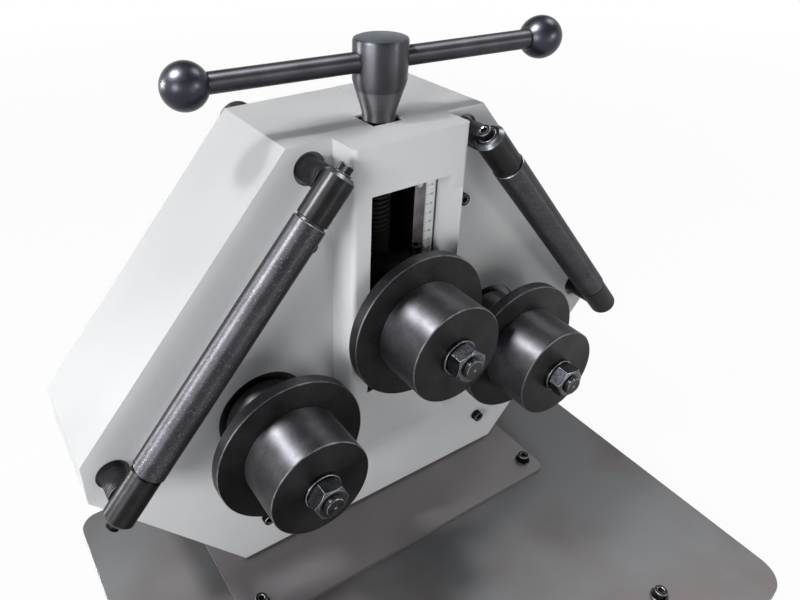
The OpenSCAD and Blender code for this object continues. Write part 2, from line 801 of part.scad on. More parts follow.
module shaft_bushes() {
    color("goldenrod") {
        for (x = [-lower_x, lower_x]) {
            bore = journal_d / 2 + fit_gap;
            turned_y(x, lower_z, [[bore, front_y0 - bush_flange_t],
                [bush_flange_d / 2, front_y0 - bush_flange_t],
                [bush_flange_d / 2, front_y0],
                [bush_d / 2, front_y0],
                [bush_d / 2, front_y1],
                [bore, front_y1]]);
            rear_bore = rear_journal_d / 2 + fit_gap;
            turned_y(x, lower_z, [[rear_bore, rear_y0 - bush_flange_t],
                [rear_bush_flange_r, rear_y0 - bush_flange_t], [rear_bush_flange_r, rear_y0],
                [rear_bush_r, rear_y0], [rear_bush_r, rear_y1], [rear_bore, rear_y1]]);
        }
        drive_bore = drive_d / 2 + fit_gap;
        ring_y(0, drive_z, drive_bush_d / 2, drive_bore, drive_y0, front_y1, 0);
        turned_y(0, drive_z, [[drive_bore, rear_y0],
            [drive_bush_d / 2, rear_y0],
            [drive_bush_d / 2, rear_y1],
            [drive_bush_d / 2 + bush_flange_t, rear_y1],
            [drive_bush_d / 2 + bush_flange_t, rear_y1 + bush_flange_t],
            [drive_bore, rear_y1 + bush_flange_t]]);
    }
}

// Front end of a roller shaft: thread with a centre hole, ring seat with its key
function shaft_front(shoulder_y) = [
    [0, tip_y + thread_d / 8],
    [thread_d / 8, tip_y],
    [thread_d / 2 - shaft_chamfer, tip_y],
    [thread_d / 2, tip_y + shaft_chamfer],
    [thread_d / 2, ring_y0],
    [seat_d / 2, ring_y0],
    [seat_d / 2, shoulder_y],
    [journal_d / 2, shoulder_y]];

module shaft_key(x, z, shoulder_y, lift) {
    translate([x - key_w / 2 - lift, ring_y0 + (lift > 0 ? -over : key_w / 2), z + seat_d / 2 - key_h])
        cube([key_w + 2 * lift, shoulder_y - ring_y0 + (lift > 0 ? 2 * over : -key_w),
            key_h * 1.8 + lift]);
}

module lower_shaft(side) {
    x = side * lower_x;
    color("darkslategray") {
        turned_y(x, lower_z, concat(shaft_front(lower_shoulder_y), [
            [journal_d / 2, gear_y - face_gap],
            [seat_d / 2, gear_y - face_gap],
            [seat_d / 2, rear_y0 - bush_flange_t - face_gap],
            [rear_journal_d / 2, rear_y0 - bush_flange_t - face_gap],
            [rear_journal_d / 2, rear_y1 + face_gap],
            [0, rear_y1 + face_gap]]));
        shaft_key(x, lower_z, lower_shoulder_y, 0);
    }
}

module roller_ring(x, z, r, y0, y1, shoulder_y) {
    color("dimgray") difference() {
        ring_y(x, z, r, ring_bore_r, y0, y1, ring_chamfer);
        shaft_key(x, z, shoulder_y, fit_gap);
    }
}

module front_fasteners(x, z) {
    ring_y(x, z, roller_washer_d / 2, thread_d / 2 + fit_gap, washer_y0, ring_y0, 0);
    difference() {
        translate([x, washer_y0 - fit_gap, z]) rotate([90, 0, 0])
            cylinder(d = roller_nut_af / cos(30), h = roller_nut_h - fit_gap, $fn = 6);
        bar_y(x, z, thread_d / 2 + fit_gap, nut_y0 - over, washer_y0 + over);
    }
}

module end_bolt(x, z, y, plate_r) {
    bar_y(x, z, plate_r, y, y + rear_washer_t);
    translate([x, y + rear_washer_t, z]) rotate([-90, 0, 0])
        cylinder(d = rear_bolt_af / cos(30), h = rear_bolt_h, $fn = 6);
}

module lower_fasteners(side) {
    color("black") {
        front_fasteners(side * lower_x, lower_z);
        end_bolt(side * lower_x, lower_z, rear_y1 + face_gap, rear_bush_r + bush_flange_t);
    }
}

// Involute spur gear drawn round the origin, with a tooth on the X axis
function involute(r, base_r) = r <= base_r ? 0 : tan(acos(base_r / r)) * 180 / PI - acos(base_r / r);
function flank_angle(r, pitch_r, teeth) =
    90 / teeth - backlash * 90 / (PI * pitch_r)
    + involute(pitch_r, pitch_r * cos(tooth_pressure)) - involute(r, pitch_r * cos(tooth_pressure));
function tooth_points(teeth) = let (
    pitch_r = gear_module * teeth / 2,
    root_r = pitch_r - gear_module * root_share,
    steps = [for (k = [0:flank_steps]) root_r + (gear_module * (1 + root_share)) * k / flank_steps])
    [for (t = [0:teeth - 1], side = [-1, 1], k = [0:flank_steps])
        let (r = steps[side < 0 ? k : flank_steps - k],
            a = t * 360 / teeth + side * flank_angle(r, pitch_r, teeth))
        [r * cos(a), r * sin(a)]];

module lower_gear(side) {
    hub_r = gear_r * gear_hub_share;
    rim_r = gear_r * gear_rim_share;
    recess = gear_w * (1 - web_share) / 2;
    color("gray") difference() {
        translate([side * lower_x, 0, lower_z]) mirror([side < 0 ? 1 : 0, 0, 0]) rotate([0, -gear_turn, 0])
            along_y(gear_y, gear_y1) polygon(tooth_points(gear_teeth));
        bar_y(side * lower_x, lower_z, ring_bore_r, gear_y - over, gear_y1 + over);
        for (y = [gear_y, gear_y1]) difference() {
            bar_y(side * lower_x, lower_z, rim_r, y - recess, y + recess);
            bar_y(side * lower_x, lower_z, hub_r, y - recess - over, y + recess + over);
        }
    }
}

module drive_shaft() {
    color("darkslategray")
        turned_y(0, drive_z, [[0, drive_y0 + face_gap],
            [drive_d / 2, drive_y0 + face_gap],
            [drive_d / 2, front_y1 + over],
            [pinion_seat_d / 2, front_y1 + over],
            [pinion_seat_d / 2, rear_y0 - face_gap],
            [drive_d / 2, rear_y0 - face_gap],
            [drive_d / 2, crank_y0],
            [crank_seat_d / 2, crank_y0],
            [crank_seat_d / 2, crank_y1],
            [crank_thread_d / 2, crank_y1],
            [crank_thread_d / 2, crank_y1 + crank_thread_d * 1.2],
            [0, crank_y1 + crank_thread_d * 1.2]]);
}

module drive_pinion() {
    color("gray") difference() {
        translate([0, 0, drive_z]) rotate([0, -90, 0])
            along_y(gear_y - over, gear_y1 + over) polygon(tooth_points(pinion_teeth));
        bar_y(0, drive_z, pinion_seat_d / 2 + fit_gap, gear_y - 2 * over, gear_y1 + 2 * over);
    }
}

module crank_arm() {
    grip_z = drive_z - crank_r;
    color("silver") difference() {
        union() {
            bar_y(0, drive_z, crank_hub_d / 2, crank_y0, crank_y1);
            bar_y(0, grip_z, crank_w / 2, arm_y0, arm_y1);
            translate([-crank_w / 2, arm_y0, grip_z]) cube([crank_w, crank_t, crank_r]);
        }
        bar_y(0, drive_z, crank_seat_d / 2 + fit_gap, crank_y0 - over, crank_y1 + over);
        bar_y(0, grip_z, grip_pin_d * 0.4 + fit_gap, arm_y0 - over, arm_y1 + over);
    }
}

module crank_fasteners() {
    grip_z = drive_z - crank_r;
    color("black") {
        difference() {
            union() {
                bar_y(0, drive_z, crank_seat_d * 0.75, crank_y1, crank_y1 + bush_flange_t);
                translate([0, crank_y1 + bush_flange_t, drive_z]) rotate([-90, 0, 0])
                    cylinder(d = crank_thread_d * nut_af_share / cos(30),
                        h = crank_thread_d * nut_h_share, $fn = 6);
            }
            bar_y(0, drive_z, crank_thread_d / 2 + fit_gap, crank_y1 - over, crank_y1 + crank_thread_d * 2);
        }
        bar_y(0, grip_z, grip_pin_d * 0.4, arm_y0, arm_y1 + over);
        bar_y(0, grip_z, grip_pin_d / 2, arm_y1, grip_y1 + face_gap);
        bar_y(0, grip_z, grip_pin_d * 0.8, grip_y1 + face_gap, grip_y1 + face_gap + grip_pin_d / 2);
    }
}

module crank_grip() {
    bore = grip_pin_d / 2 + fit_gap;
    r = grip_d / 2;
    color("black") turned_y(0, drive_z - crank_r, [[bore, grip_y0],
        [r * 0.72, grip_y0],
        [r * 0.78, grip_y0 + grip_l * 0.04],
        [r * 0.78, grip_y0 + grip_l * 0.12],
        [r * 0.95, grip_y0 + grip_l * 0.35],
        [r, grip_y0 + grip_l * 0.55],
        [r * 0.93, grip_y0 + grip_l * 0.85],
        [r * 0.7, grip_y1],
        [bore, grip_y1]]);
}

module carriage() {
    color("dimgray") difference() {
        translate([-carriage_half, carriage_y0, carriage_z0])
            cube([2 * carriage_half, carriage_y1 - carriage_y0, carriage_z1 - carriage_z0]);
        bar_y(0, upper_z, bush_d / 2, carriage_y0 - over, carriage_y1 + over);
        translate([0, spindle_y, foot_z0 - face_gap])
            cylinder(r = spindle_d / 2 + fit_gap, h = foot_t + face_gap + over);
        for (x = [-retainer_screw_x, retainer_screw_x], y = [-retainer_screw_y, retainer_screw_y])
            translate([x, spindle_y + y, carriage_z1 - retainer_bore_l])
                cylinder(r = screw_d / 2 + fit_gap, h = retainer_bore_l + over);
        for (p = keeper_screw_places) {
            bar_y(p[0], p[1], keeper_screw_d / 2 + fit_gap,
                carriage_y0 - over, carriage_y0 + keeper_bore_l);
            bar_y(p[0], p[1], keeper_screw_d / 2 + fit_gap,
                carriage_y1 - keeper_bore_l, carriage_y1 + over);
        }
    }
}

keeper_screw_d = screw_d * 0.75;
keeper_bore_l = keeper_screw_d * 1.5;
keeper_place_x = carriage_half * 0.78;
keeper_place_z = carriage_down * 0.72;
keeper_screw_places = [
    for (x = [-keeper_place_x, keeper_place_x])
        for (z = [upper_z - keeper_place_z, upper_z + keeper_place_z]) [x, z]];

module keeper(y0, y1, head_y) {
    difference() {
        translate([-keeper_w / 2, y0, carriage_z0]) cube([keeper_w, y1 - y0, keeper_z1 - carriage_z0]);
        bar_y(0, upper_z, bush_d / 2, y0 - over, y1 + over);
        for (p = keeper_screw_places) {
            bar_y(p[0], p[1], keeper_screw_d / 2 + fit_gap, y0 - over, y1 + over);
            bar_y(p[0], p[1], keeper_screw_d * head_d_share / 2 + fit_gap,
                head_y < 0 ? y0 - over : y1 - keeper_screw_d, head_y < 0 ? y0 + keeper_screw_d : y1 + over);
        }
        for (x = [-keeper_screw_x, keeper_screw_x])
            translate([x, (y0 + y1) / 2, keeper_z1 - screw_d * 1.5])
                cylinder(r = screw_d / 2 + fit_gap, h = screw_d * 2);
    }
}

module front_keeper() {
    color("darkslategray") keeper(keeper_y0, carriage_y0, -1);
}

module rear_keeper() {
    color("darkslategray") keeper(carriage_y1, keeper_y1, 1);
}

module carriage_screws() {
    color("black") {
        for (x = [-retainer_screw_x, retainer_screw_x], y = [-retainer_screw_y, retainer_screw_y])
            translate([x, spindle_y + y, retainer_z1])
                cap_screw(screw_d, retainer_t + retainer_bore_l * 0.9);
        for (x = [-keeper_screw_x, keeper_screw_x], y = [keeper_y0, carriage_y1])
            translate([x, y + keeper_t / 2, keeper_z1]) cap_screw(screw_d, screw_d * 1.4);
        for (p = keeper_screw_places) {
            facing_front(p[0], keeper_y0 + keeper_screw_d, p[1])
                cap_screw(keeper_screw_d, keeper_t - keeper_screw_d + keeper_bore_l * 0.9);
            facing_rear(p[0], keeper_y1 - keeper_screw_d, p[1])
                cap_screw(keeper_screw_d, keeper_t - keeper_screw_d + keeper_bore_l * 0.9);
        }
    }
}

module upper_bushes() {
    bore = journal_d / 2 + fit_gap;
    middle = (keeper_y0 + keeper_y1) / 2;
    gap = keeper_t / 3;
    color("goldenrod") {
        turned_y(0, upper_z, [[bore, keeper_y0 - bush_flange_t],
            [bush_flange_d / 2, keeper_y0 - bush_flange_t],
            [bush_flange_d / 2, keeper_y0],
            [bush_d / 2, keeper_y0],
            [bush_d / 2, middle - gap],
            [bore, middle - gap]]);
        turned_y(0, upper_z, [[bore, middle + gap], [bush_d / 2, middle + gap],
            [bush_d / 2, keeper_y1], [bush_flange_d / 2, keeper_y1],
            [bush_flange_d / 2, upper_rear_y], [bore, upper_rear_y]]);
    }
}

module spindle_retainer() {
    color("gray") difference() {
        for (s = [-1, 1])
            translate([-retainer_half_x, spindle_y + (s < 0 ? -retainer_half_y : fit_gap), carriage_z1])
                cube([2 * retainer_half_x, retainer_half_y - fit_gap, retainer_t]);
        translate([0, spindle_y, carriage_z1 - over])
            cylinder(r = spindle_neck_d / 2 + fit_gap, h = retainer_t + 2 * over);
        for (x = [-retainer_screw_x, retainer_screw_x], y = [-retainer_screw_y, retainer_screw_y])
            translate([x, spindle_y + y, carriage_z1 - over])
                cylinder(r = screw_d / 2 + fit_gap, h = retainer_t + 2 * over);
    }
}

module upper_shaft() {
    color("darkslategray") {
        turned_y(0, upper_z, concat(shaft_front(upper_shoulder_y), [
            [journal_d / 2, upper_rear_y + face_gap],
            [0, upper_rear_y + face_gap]]));
        shaft_key(0, upper_z, upper_shoulder_y, 0);
    }
}

module upper_fasteners() {
    color("black") {
        front_fasteners(0, upper_z);
        end_bolt(0, upper_z, upper_rear_y + face_gap, bush_d / 2);
    }
}

module spindle() {
    r = spindle_d / 2;
    neck_r = spindle_neck_d / 2;
    color("dimgray") translate([0, spindle_y, 0]) rotate_extrude() polygon([
        [0, foot_z0],
        [r, foot_z0],
        [r, carriage_z1 - slide_play],
        [neck_r, carriage_z1 - slide_play],
        [neck_r, retainer_z1 + slide_play],
        [r, retainer_z1 + slide_play],
        [r, neck_low],
        [neck_r, neck_low],
        [neck_r, spindle_top],
        [0, spindle_top]]);
}

module handle_hub() {
    neck_r = spindle_neck_d / 2 + fit_gap;
    edge = hub_d / 20;
    color("black") difference() {
        translate([0, spindle_y, 0]) rotate_extrude() polygon([
            [0, spindle_top + face_gap],
            [neck_r, spindle_top + face_gap],
            [neck_r, neck_low],
            [hub_neck_d / 2, neck_low],
            [hub_neck_d / 2, cone_z0],
            [hub_d / 2, cone_z1],
            [hub_d / 2, top_z + hub_rise - edge],
            [hub_d / 2 - edge, top_z + hub_rise],
            [0, top_z + hub_rise]]);
        in_tommy_frame() translate([0, 0, -hub_d]) cylinder(r = tommy_d / 2 + fit_gap, h = 2 * hub_d);
    }
}

// Local Z runs along the tommy bar from its middle
module in_tommy_frame() {
    translate([0, spindle_y, top_z + tommy_rise]) rotate([0, 0, tommy_turn]) rotate([0, 90, 0]) children();
}

ball_reach = ball_pitch / 2;
ball_seat = ball_d * 0.15;

module tommy_bar() {
    half = ball_reach + ball_seat - face_gap;
    color("dimgray") in_tommy_frame() translate([0, 0, -half]) cylinder(d = tommy_d, h = 2 * half);
}

module handle_balls() {
    flat = sqrt(pow(ball_d / 2, 2) - pow(tommy_d * 0.6, 2));
    color("black") in_tommy_frame()
        for (s = [-1, 1]) translate([0, 0, s * ball_reach]) rotate([s < 0 ? 180 : 0, 0, 0]) difference() {
            sphere(d = ball_d);
            translate([0, 0, -ball_d]) cylinder(r = tommy_d / 2 + fit_gap, h = ball_d + ball_seat);
            translate([0, 0, -ball_d - flat]) cylinder(d = ball_d, h = ball_d);
        }
}

// Local Z runs up the guide roller's axis from its middle
module in_guide_frame(side) {
    translate([side * guide_x, -guide_y, guide_z]) rotate([0, side * (guide_angle - 90), 0]) children();
}

// Children once at each rod of one side, as bars along Y
module rod_bar(side, r, y0, y1) {
    bar_y(side * rod_top_x, body_z + rod_top_h, r, y0, y1);
    bar_y(side * rod_low_x, body_z + rod_low_h, r, y0, y1);
}

module guide_axle(side) {
    color("black") in_guide_frame(side) {
        translate([0, 0, -block_low - axle_proud])
            cylinder(d = axle_d, h = block_low + axle_proud + block_top);
        translate([0, 0, block_top]) cylinder(d = axle_washer_d, h = axle_washer_t);
        translate([0, 0, block_top + axle_washer_t]) difference() {
            cylinder(d = axle_head_d, h = axle_head_h);
            translate([0, 0, axle_head_h * (1 - socket_depth_share)])
                cylinder(d = axle_head_d / 2 / cos(30), h = axle_head_h, $fn = 6);
        }
    }
}

// Block between the axis stations s0 and s1, with chamfers c0 and c1 at its ends,
// drilled for the axle bolt and for the rod at x and h
module guide_block(side, s0, s1, c0, c1, x, h) {
    r = block_d / 2;
    bore = axle_d / 2 + fit_gap;
    difference() {
        in_guide_frame(side) rotate_extrude() polygon([
            [bore, s0], [r - c0, s0], [r, s0 + c0], [r, s1 - c1], [r - c1, s1], [bore, s1]]);
        bar_y(side * x, body_z + h, rod_journal_d / 2 + fit_gap, rod_tip_y - face_gap, rod_seat_y + over);
        bar_y(side * x, body_z + h, rod_d / 2 + fit_gap, rod_seat_y, over);
    }
}

module guide_blocks(side) {
    color("dimgray") {
        guide_block(side, block_s0, block_top, block_edge, block_top_chamfer, rod_top_x, rod_top_h);
        guide_block(side, -block_low, -block_s0, block_low_chamfer, block_edge, rod_low_x, rod_low_h);
    }
}

module guide_rods(side) {
    color("dimgray") difference() {
        union() {
            rod_bar(side, rod_journal_d / 2, rod_tip_y, rod_seat_y);
            rod_bar(side, rod_d / 2, rod_seat_y, rod_rear);
        }
        in_guide_frame(side) translate([0, 0, -block_low])
            cylinder(r = axle_d / 2 + fit_gap, h = block_low + block_top);
        in_guide_frame(side) translate([0, 0, block_top])
            cylinder(r = axle_washer_d / 2 + face_gap, h = axle_washer_t + axle_head_h);
    }
}

module guide_sleeve(side) {
    r = guide_d / 2;
    bore = axle_d / 2 + fit_gap;
    edge = guide_d / 20;
    end = sleeve_half + collar_t;
    color("dimgray") in_guide_frame(side) rotate_extrude() polygon([
        [bore, -end],
        [block_d / 2 - edge, -end],
        [block_d / 2 - edge, -sleeve_half],
        [r - edge, -sleeve_half],
        [r, -sleeve_half + edge],
        [r, sleeve_half - edge],
        [r - edge, sleeve_half],
        [block_d / 2 - edge, sleeve_half],
        [block_d / 2 - edge, end],
        [bore, end]]);
}

module rear_knob(x, h) {
    r = knob_d / 2;
    edge = knob_d / 25;
    bore = rod_d / 2 + fit_gap;
    color("black") turned_y(x, body_z + h, [[bore, knob_y0],
        [r * 0.8, knob_y0],
        [r * 0.8, knob_y0 + knob_neck_l],
        [r - edge, knob_y0 + knob_neck_l],
        [r, knob_y0 + knob_neck_l + edge],
        [r, knob_y1 - edge],
        [r - edge, knob_y1],
        [bore, knob_y1]]);
}

module lower_rear_ring(side) {
    roller_ring(side * lower_x, lower_z, rear_ring_d / 2, -flange_y, lower_shoulder_y, lower_shoulder_y);
}

module flange_ring(x, z, shoulder_y) {
    roller_ring(x, z, flange_d / 2, flange_y0, -flange_y, shoulder_y);
}

module front_ring(x, z, shoulder_y) {
    roller_ring(x, z, front_ring_d / 2, ring_y0, flange_y0, shoulder_y);
}

table_plate();
base_plate();
plate_screws();
cover();
cover_screws();
top_strip();
front_plate();
rear_plate();
tie_bars();
frame_screws();
slide_strips();
strip_screws();
scale_strip();
spindle_bracket();
spindle_nut();
shaft_bushes();
lower_shaft(left);  // lower_left_shaft
lower_rear_ring(left);  // lower_left_rear_ring
flange_ring(-lower_x, lower_z, lower_shoulder_y);  // lower_left_flange_ring
front_ring(-lower_x, lower_z, lower_shoulder_y);  // lower_left_front_ring
lower_fasteners(left);  // lower_left_fasteners
lower_gear(left);  // lower_left_gear
lower_shaft(right);  // lower_right_shaft
lower_rear_ring(right);  // lower_right_rear_ring
flange_ring(lower_x, lower_z, lower_shoulder_y);  // lower_right_flange_ring
front_ring(lower_x, lower_z, lower_shoulder_y);  // lower_right_front_ring
lower_fasteners(right);  // lower_right_fasteners
lower_gear(right);  // lower_right_gear
drive_shaft();
drive_pinion();
crank_arm();
crank_fasteners();
crank_grip();
carriage();
front_keeper();
rear_keeper();
carriage_screws();
upper_bushes();
spindle_retainer();
upper_shaft();
roller_ring(0, upper_z, rear_ring_d / 2, -flange_y, upper_shoulder_y, upper_shoulder_y);  // upper_rear_ring
flange_ring(0, upper_z, upper_shoulder_y);  // upper_flange_ring
front_ring(0, upper_z, upper_shoulder_y);  // upper_front_ring
upper_fasteners();
spindle();
handle_hub();
tommy_bar();
handle_balls();
guide_axle(left);  // guide_left_axle
guide_blocks(left);  // guide_left_blocks
guide_rods(left);  // guide_left_rods
guide_sleeve(left);  // guide_left_sleeve
rear_knob(-rod_top_x, rod_top_h);  // guide_left_upper_knob
rear_knob(-rod_low_x, rod_low_h);  // guide_left_lower_knob
guide_axle(right);  // guide_right_axle
guide_blocks(right);  // guide_right_blocks
guide_rods(right);  // guide_right_rods
guide_sleeve(right);  // guide_right_sleeve
rear_knob(rod_top_x, rod_top_h);  // guide_right_upper_knob
rear_knob(rod_low_x, rod_low_h);  // guide_right_lower_knob
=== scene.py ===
from math import atan2, ceil, cos, hypot, pi, radians, sin, tan

import bmesh
import bpy
from mathutils import Matrix, Vector


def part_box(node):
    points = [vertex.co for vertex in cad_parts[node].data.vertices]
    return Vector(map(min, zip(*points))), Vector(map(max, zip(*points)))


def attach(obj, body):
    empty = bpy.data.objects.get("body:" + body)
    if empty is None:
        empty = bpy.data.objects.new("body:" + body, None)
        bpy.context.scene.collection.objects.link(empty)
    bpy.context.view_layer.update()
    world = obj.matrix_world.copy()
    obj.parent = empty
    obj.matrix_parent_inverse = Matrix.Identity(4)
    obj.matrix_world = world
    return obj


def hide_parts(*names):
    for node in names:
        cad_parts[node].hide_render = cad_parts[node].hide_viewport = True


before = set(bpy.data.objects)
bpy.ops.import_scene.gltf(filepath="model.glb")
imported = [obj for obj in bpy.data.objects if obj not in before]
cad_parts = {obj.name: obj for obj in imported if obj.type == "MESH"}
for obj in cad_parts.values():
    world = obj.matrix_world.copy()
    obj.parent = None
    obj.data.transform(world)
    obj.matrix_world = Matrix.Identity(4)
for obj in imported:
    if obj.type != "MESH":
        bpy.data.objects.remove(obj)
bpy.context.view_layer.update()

mm = 0.001
print("frame loaded:", len(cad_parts), "nodes")


# Camera: the photograph's viewpoint, with the picture's centre off the lens axis

cameraView = {
    "place": (-354.67 * mm, -473.67 * mm, 696.61 * mm),
    "yaw": 30.76,  # degrees to the right of straight ahead
    "pitch": 29.70,  # degrees down
    "roll": -0.80,
    "lens": 31.70,
    "sensorWidth": 36,
    "shiftX": 0.0968,
    "shiftY": -0.0708,
    "nearest": 0.01,
}


def makeCamera():
    yaw, pitch, roll = (radians(cameraView[key]) for key in ("yaw", "pitch", "roll"))
    turn = (Matrix.Rotation(-yaw, 3, "Z") @ Matrix.Rotation(pi / 2 - pitch, 3, "X")
            @ Matrix.Rotation(roll, 3, "Z"))
    data = bpy.data.cameras.new("camera")
    data.lens = cameraView["lens"]
    data.sensor_width = cameraView["sensorWidth"]
    data.shift_x = cameraView["shiftX"]
    data.shift_y = cameraView["shiftY"]
    data.clip_start = cameraView["nearest"]
    camera = bpy.data.objects.new("camera", data)
    camera.matrix_world = Matrix.Translation(cameraView["place"]) @ turn.to_4x4()
    bpy.context.scene.collection.objects.link(camera)
    bpy.context.scene.camera = camera


makeCamera()
print("camera placed")


# Colours and nodes

noiseLow, noiseHigh = 0.35, 0.65  # most of a noise texture lies between these
cloudLow, cloudHigh = 0.3, 0.7
spotLow, spotHigh = 0.6, 0.7  # only its peaks lie beyond these


def toLinear(hexCode):
    # the sRGB curve
    channels = [int(hexCode[i:i + 2], 16) / 255 for i in (1, 3, 5)]
    return [c / 12.92 if c <= 0.04045 else ((c + 0.055) / 1.055) ** 2.4
            for c in channels] + [1.0]


def addNode(tree, kind, settings=None, inputs=None):
    node = tree.nodes.new(kind)
    for name, value in (settings or {}).items():
        setattr(node, name, value)
    for name, value in (inputs or {}).items():
        if isinstance(value, bpy.types.NodeSocket):
            tree.links.new(value, node.inputs[name])
        else:
            node.inputs[name].default_value = value
    return node


def calc(tree, operation, *values):
    return addNode(tree, "ShaderNodeMath", {"operation": operation},
                   dict(enumerate(values))).outputs["Value"]


def startMaterial(name, metallic):
    material = bpy.data.materials.new(name)
    material.use_nodes = True
    tree = material.node_tree
    shader = tree.nodes["Principled BSDF"]
    shader.inputs["Metallic"].default_value = metallic
    return material, tree, shader


def grain(tree, place, sizeMm, detail=2.0):
    return addNode(tree, "ShaderNodeTexNoise", inputs={
        "Vector": place, "Scale": 1 / (sizeMm * mm), "Detail": detail}).outputs["Fac"]


def spread(tree, value, low, high, fromLow=noiseLow, fromHigh=noiseHigh):
    return addNode(tree, "ShaderNodeMapRange", inputs={
        "Value": value, "From Min": fromLow, "From Max": fromHigh,
        "To Min": low, "To Max": high}).outputs["Result"]


def colourBetween(tree, factor, first, second, low=0.0, high=1.0):
    ramp = addNode(tree, "ShaderNodeValToRGB", inputs={"Fac": factor})
    for element, place, colour in zip(ramp.color_ramp.elements, (low, high), (first, second)):
        element.position = place
        element.color = toLinear(colour)
    return ramp.outputs["Color"]


def mixColours(tree, factor, first, second):
    # a mix node keeps its two colours in sockets 6 and 7, and the mixed one in output 2
    return addNode(tree, "ShaderNodeMix", {"data_type": "RGBA"},
                   {0: factor, 6: first, 7: second}).outputs[2]


def bumpFrom(tree, shader, height, depthMm):
    bump = addNode(tree, "ShaderNodeBump", inputs={
        "Height": height, "Distance": depthMm * mm, "Strength": 1.0})
    tree.links.new(bump.outputs["Normal"], shader.inputs["Normal"])


def latheCoordinate(tree, local):
    # runs along a turned cylinder and on across its end faces
    parts = addNode(tree, "ShaderNodeSeparateXYZ", inputs={"Vector": local}).outputs
    flat = addNode(tree, "ShaderNodeCombineXYZ", inputs={"X": parts["X"], "Y": parts["Y"]})
    radius = addNode(tree, "ShaderNodeVectorMath", {"operation": "LENGTH"},
                     {0: flat.outputs["Vector"]}).outputs["Value"]
    return calc(tree, "ADD", parts["Z"], radius)


def grooveTangent(tree, local, turn):
    # square to the turning grooves: along a cylinder, outward on a face
    parts = addNode(tree, "ShaderNodeSeparateXYZ", inputs={"Vector": local}).outputs
    groove = addNode(tree, "ShaderNodeCombineXYZ", inputs={
        "X": calc(tree, "MULTIPLY", parts["Y"], -1.0), "Y": parts["X"]}).outputs["Vector"]
    turned = addNode(tree, "ShaderNodeMapping", {"vector_type": "VECTOR"}, {
        "Vector": groove, "Rotation": turn}).outputs["Vector"]
    world = addNode(tree, "ShaderNodeVectorTransform", {
        "vector_type": "VECTOR", "convert_from": "OBJECT", "convert_to": "WORLD"}, {
        "Vector": turned}).outputs["Vector"]
    normal = addNode(tree, "ShaderNodeNewGeometry").outputs["Normal"]
    return addNode(tree, "ShaderNodeVectorMath", {"operation": "CROSS_PRODUCT"},
                   {0: normal, 1: world}).outputs["Vector"]


def speckledPaint(name, look):
    material, tree, shader = startMaterial(name, 0)
    place = addNode(tree, "ShaderNodeTexCoord").outputs["Object"]
    cloud = grain(tree, place, look["cloudMm"])
    tree.links.new(colourBetween(tree, cloud, look["dull"], look["clear"], cloudLow, cloudHigh),
                   shader.inputs["Base Color"])
    peel = grain(tree, place, look["peelMm"], 1.0)
    tree.links.new(spread(tree, peel, *look["roughness"]), shader.inputs["Roughness"])
    bumpFrom(tree, shader, peel, look["peelDepthMm"])
    shader.inputs["IOR"].default_value = look["ior"]
    shader.inputs["Specular IOR Level"].default_value = look["gloss"]
    return material


def turnedMetal(name, look, centre=(0, 0, 0), turn=(0, 0, 0)):
    material, tree, shader = startMaterial(name, look["metallic"])
    place = addNode(tree, "ShaderNodeTexCoord").outputs["Object"]
    local = addNode(tree, "ShaderNodeMapping", {"vector_type": "TEXTURE"}, {
        "Vector": place, "Location": centre, "Rotation": turn}).outputs["Vector"]
    marks = addNode(tree, "ShaderNodeTexNoise", {"noise_dimensions": "1D"}, {
        "W": latheCoordinate(tree, local), "Scale": 1 / (look["feedMm"] * mm),
        "Detail": 3.0}).outputs["Fac"]
    specks = grain(tree, place, look["speckMm"], 3.0)
    cloud = grain(tree, place, look["cloudMm"])
    share = look["markShare"]
    mixed = spread(tree, calc(tree, "MULTIPLY_ADD", marks, share, cloud), 0, 1,
                   cloudLow + share * noiseLow, cloudHigh + share * noiseHigh)
    colour = colourBetween(tree, mixed, look["dark"], look["light"])
    if "paintedGlintSpecks" in look:  # pale pin-head specks: painted glints on the grain
        colour = mixColours(tree, spread(tree, specks, 0, 1, spotLow, spotHigh), colour,
                            toLinear(look["paintedGlintSpecks"]))
    tree.links.new(colour, shader.inputs["Base Color"])
    tree.links.new(spread(tree, specks, *look["roughness"]), shader.inputs["Roughness"])
    bumpFrom(tree, shader, calc(tree, "MULTIPLY_ADD", specks, 0.5, marks), look["depthMm"])
    if "stretchedGloss" in look:
        shader.inputs["Anisotropic"].default_value = look["stretchedGloss"]
        tree.links.new(grooveTangent(tree, local, turn), shader.inputs["Tangent"])
    return material


def rolledMetal(name, look):
    material, tree, shader = startMaterial(name, look["metallic"])
    place = addNode(tree, "ShaderNodeTexCoord").outputs["Object"]
    stretched = addNode(tree, "ShaderNodeMapping", inputs={
        "Vector": place, "Scale": look["stretch"]}).outputs["Vector"]
    streaks = grain(tree, stretched, look["streakMm"], 4.0)
    cloud = grain(tree, place, look["cloudMm"], 3.0)
    share, edge = look["streakShare"], look["patchEdge"]
    half = (1 + share) / 2  # the middle of streaks and cloud together
    mixed = spread(tree, calc(tree, "MULTIPLY_ADD", streaks, share, cloud), 0, 1,
                   half - edge, half + edge)
    tree.links.new(colourBetween(tree, mixed, look["dark"], look["light"]),
                   shader.inputs["Base Color"])
    tree.links.new(spread(tree, cloud, *look["roughness"]), shader.inputs["Roughness"])
    bumpFrom(tree, shader, streaks, look["depthMm"])
    return material


# Light grey polyester powder coat, sprayed and baked: satin, with a fine orange peel
powderCoat = speckledPaint("powderCoat", {
    "dull": "#D6D8DA", "clear": "#DEE0E1", "cloudMm": 120, "peelMm": 1.4,
    "peelDepthMm": 0.012, "roughness": (0.4, 0.46), "ior": 1.5, "gloss": 0.05})

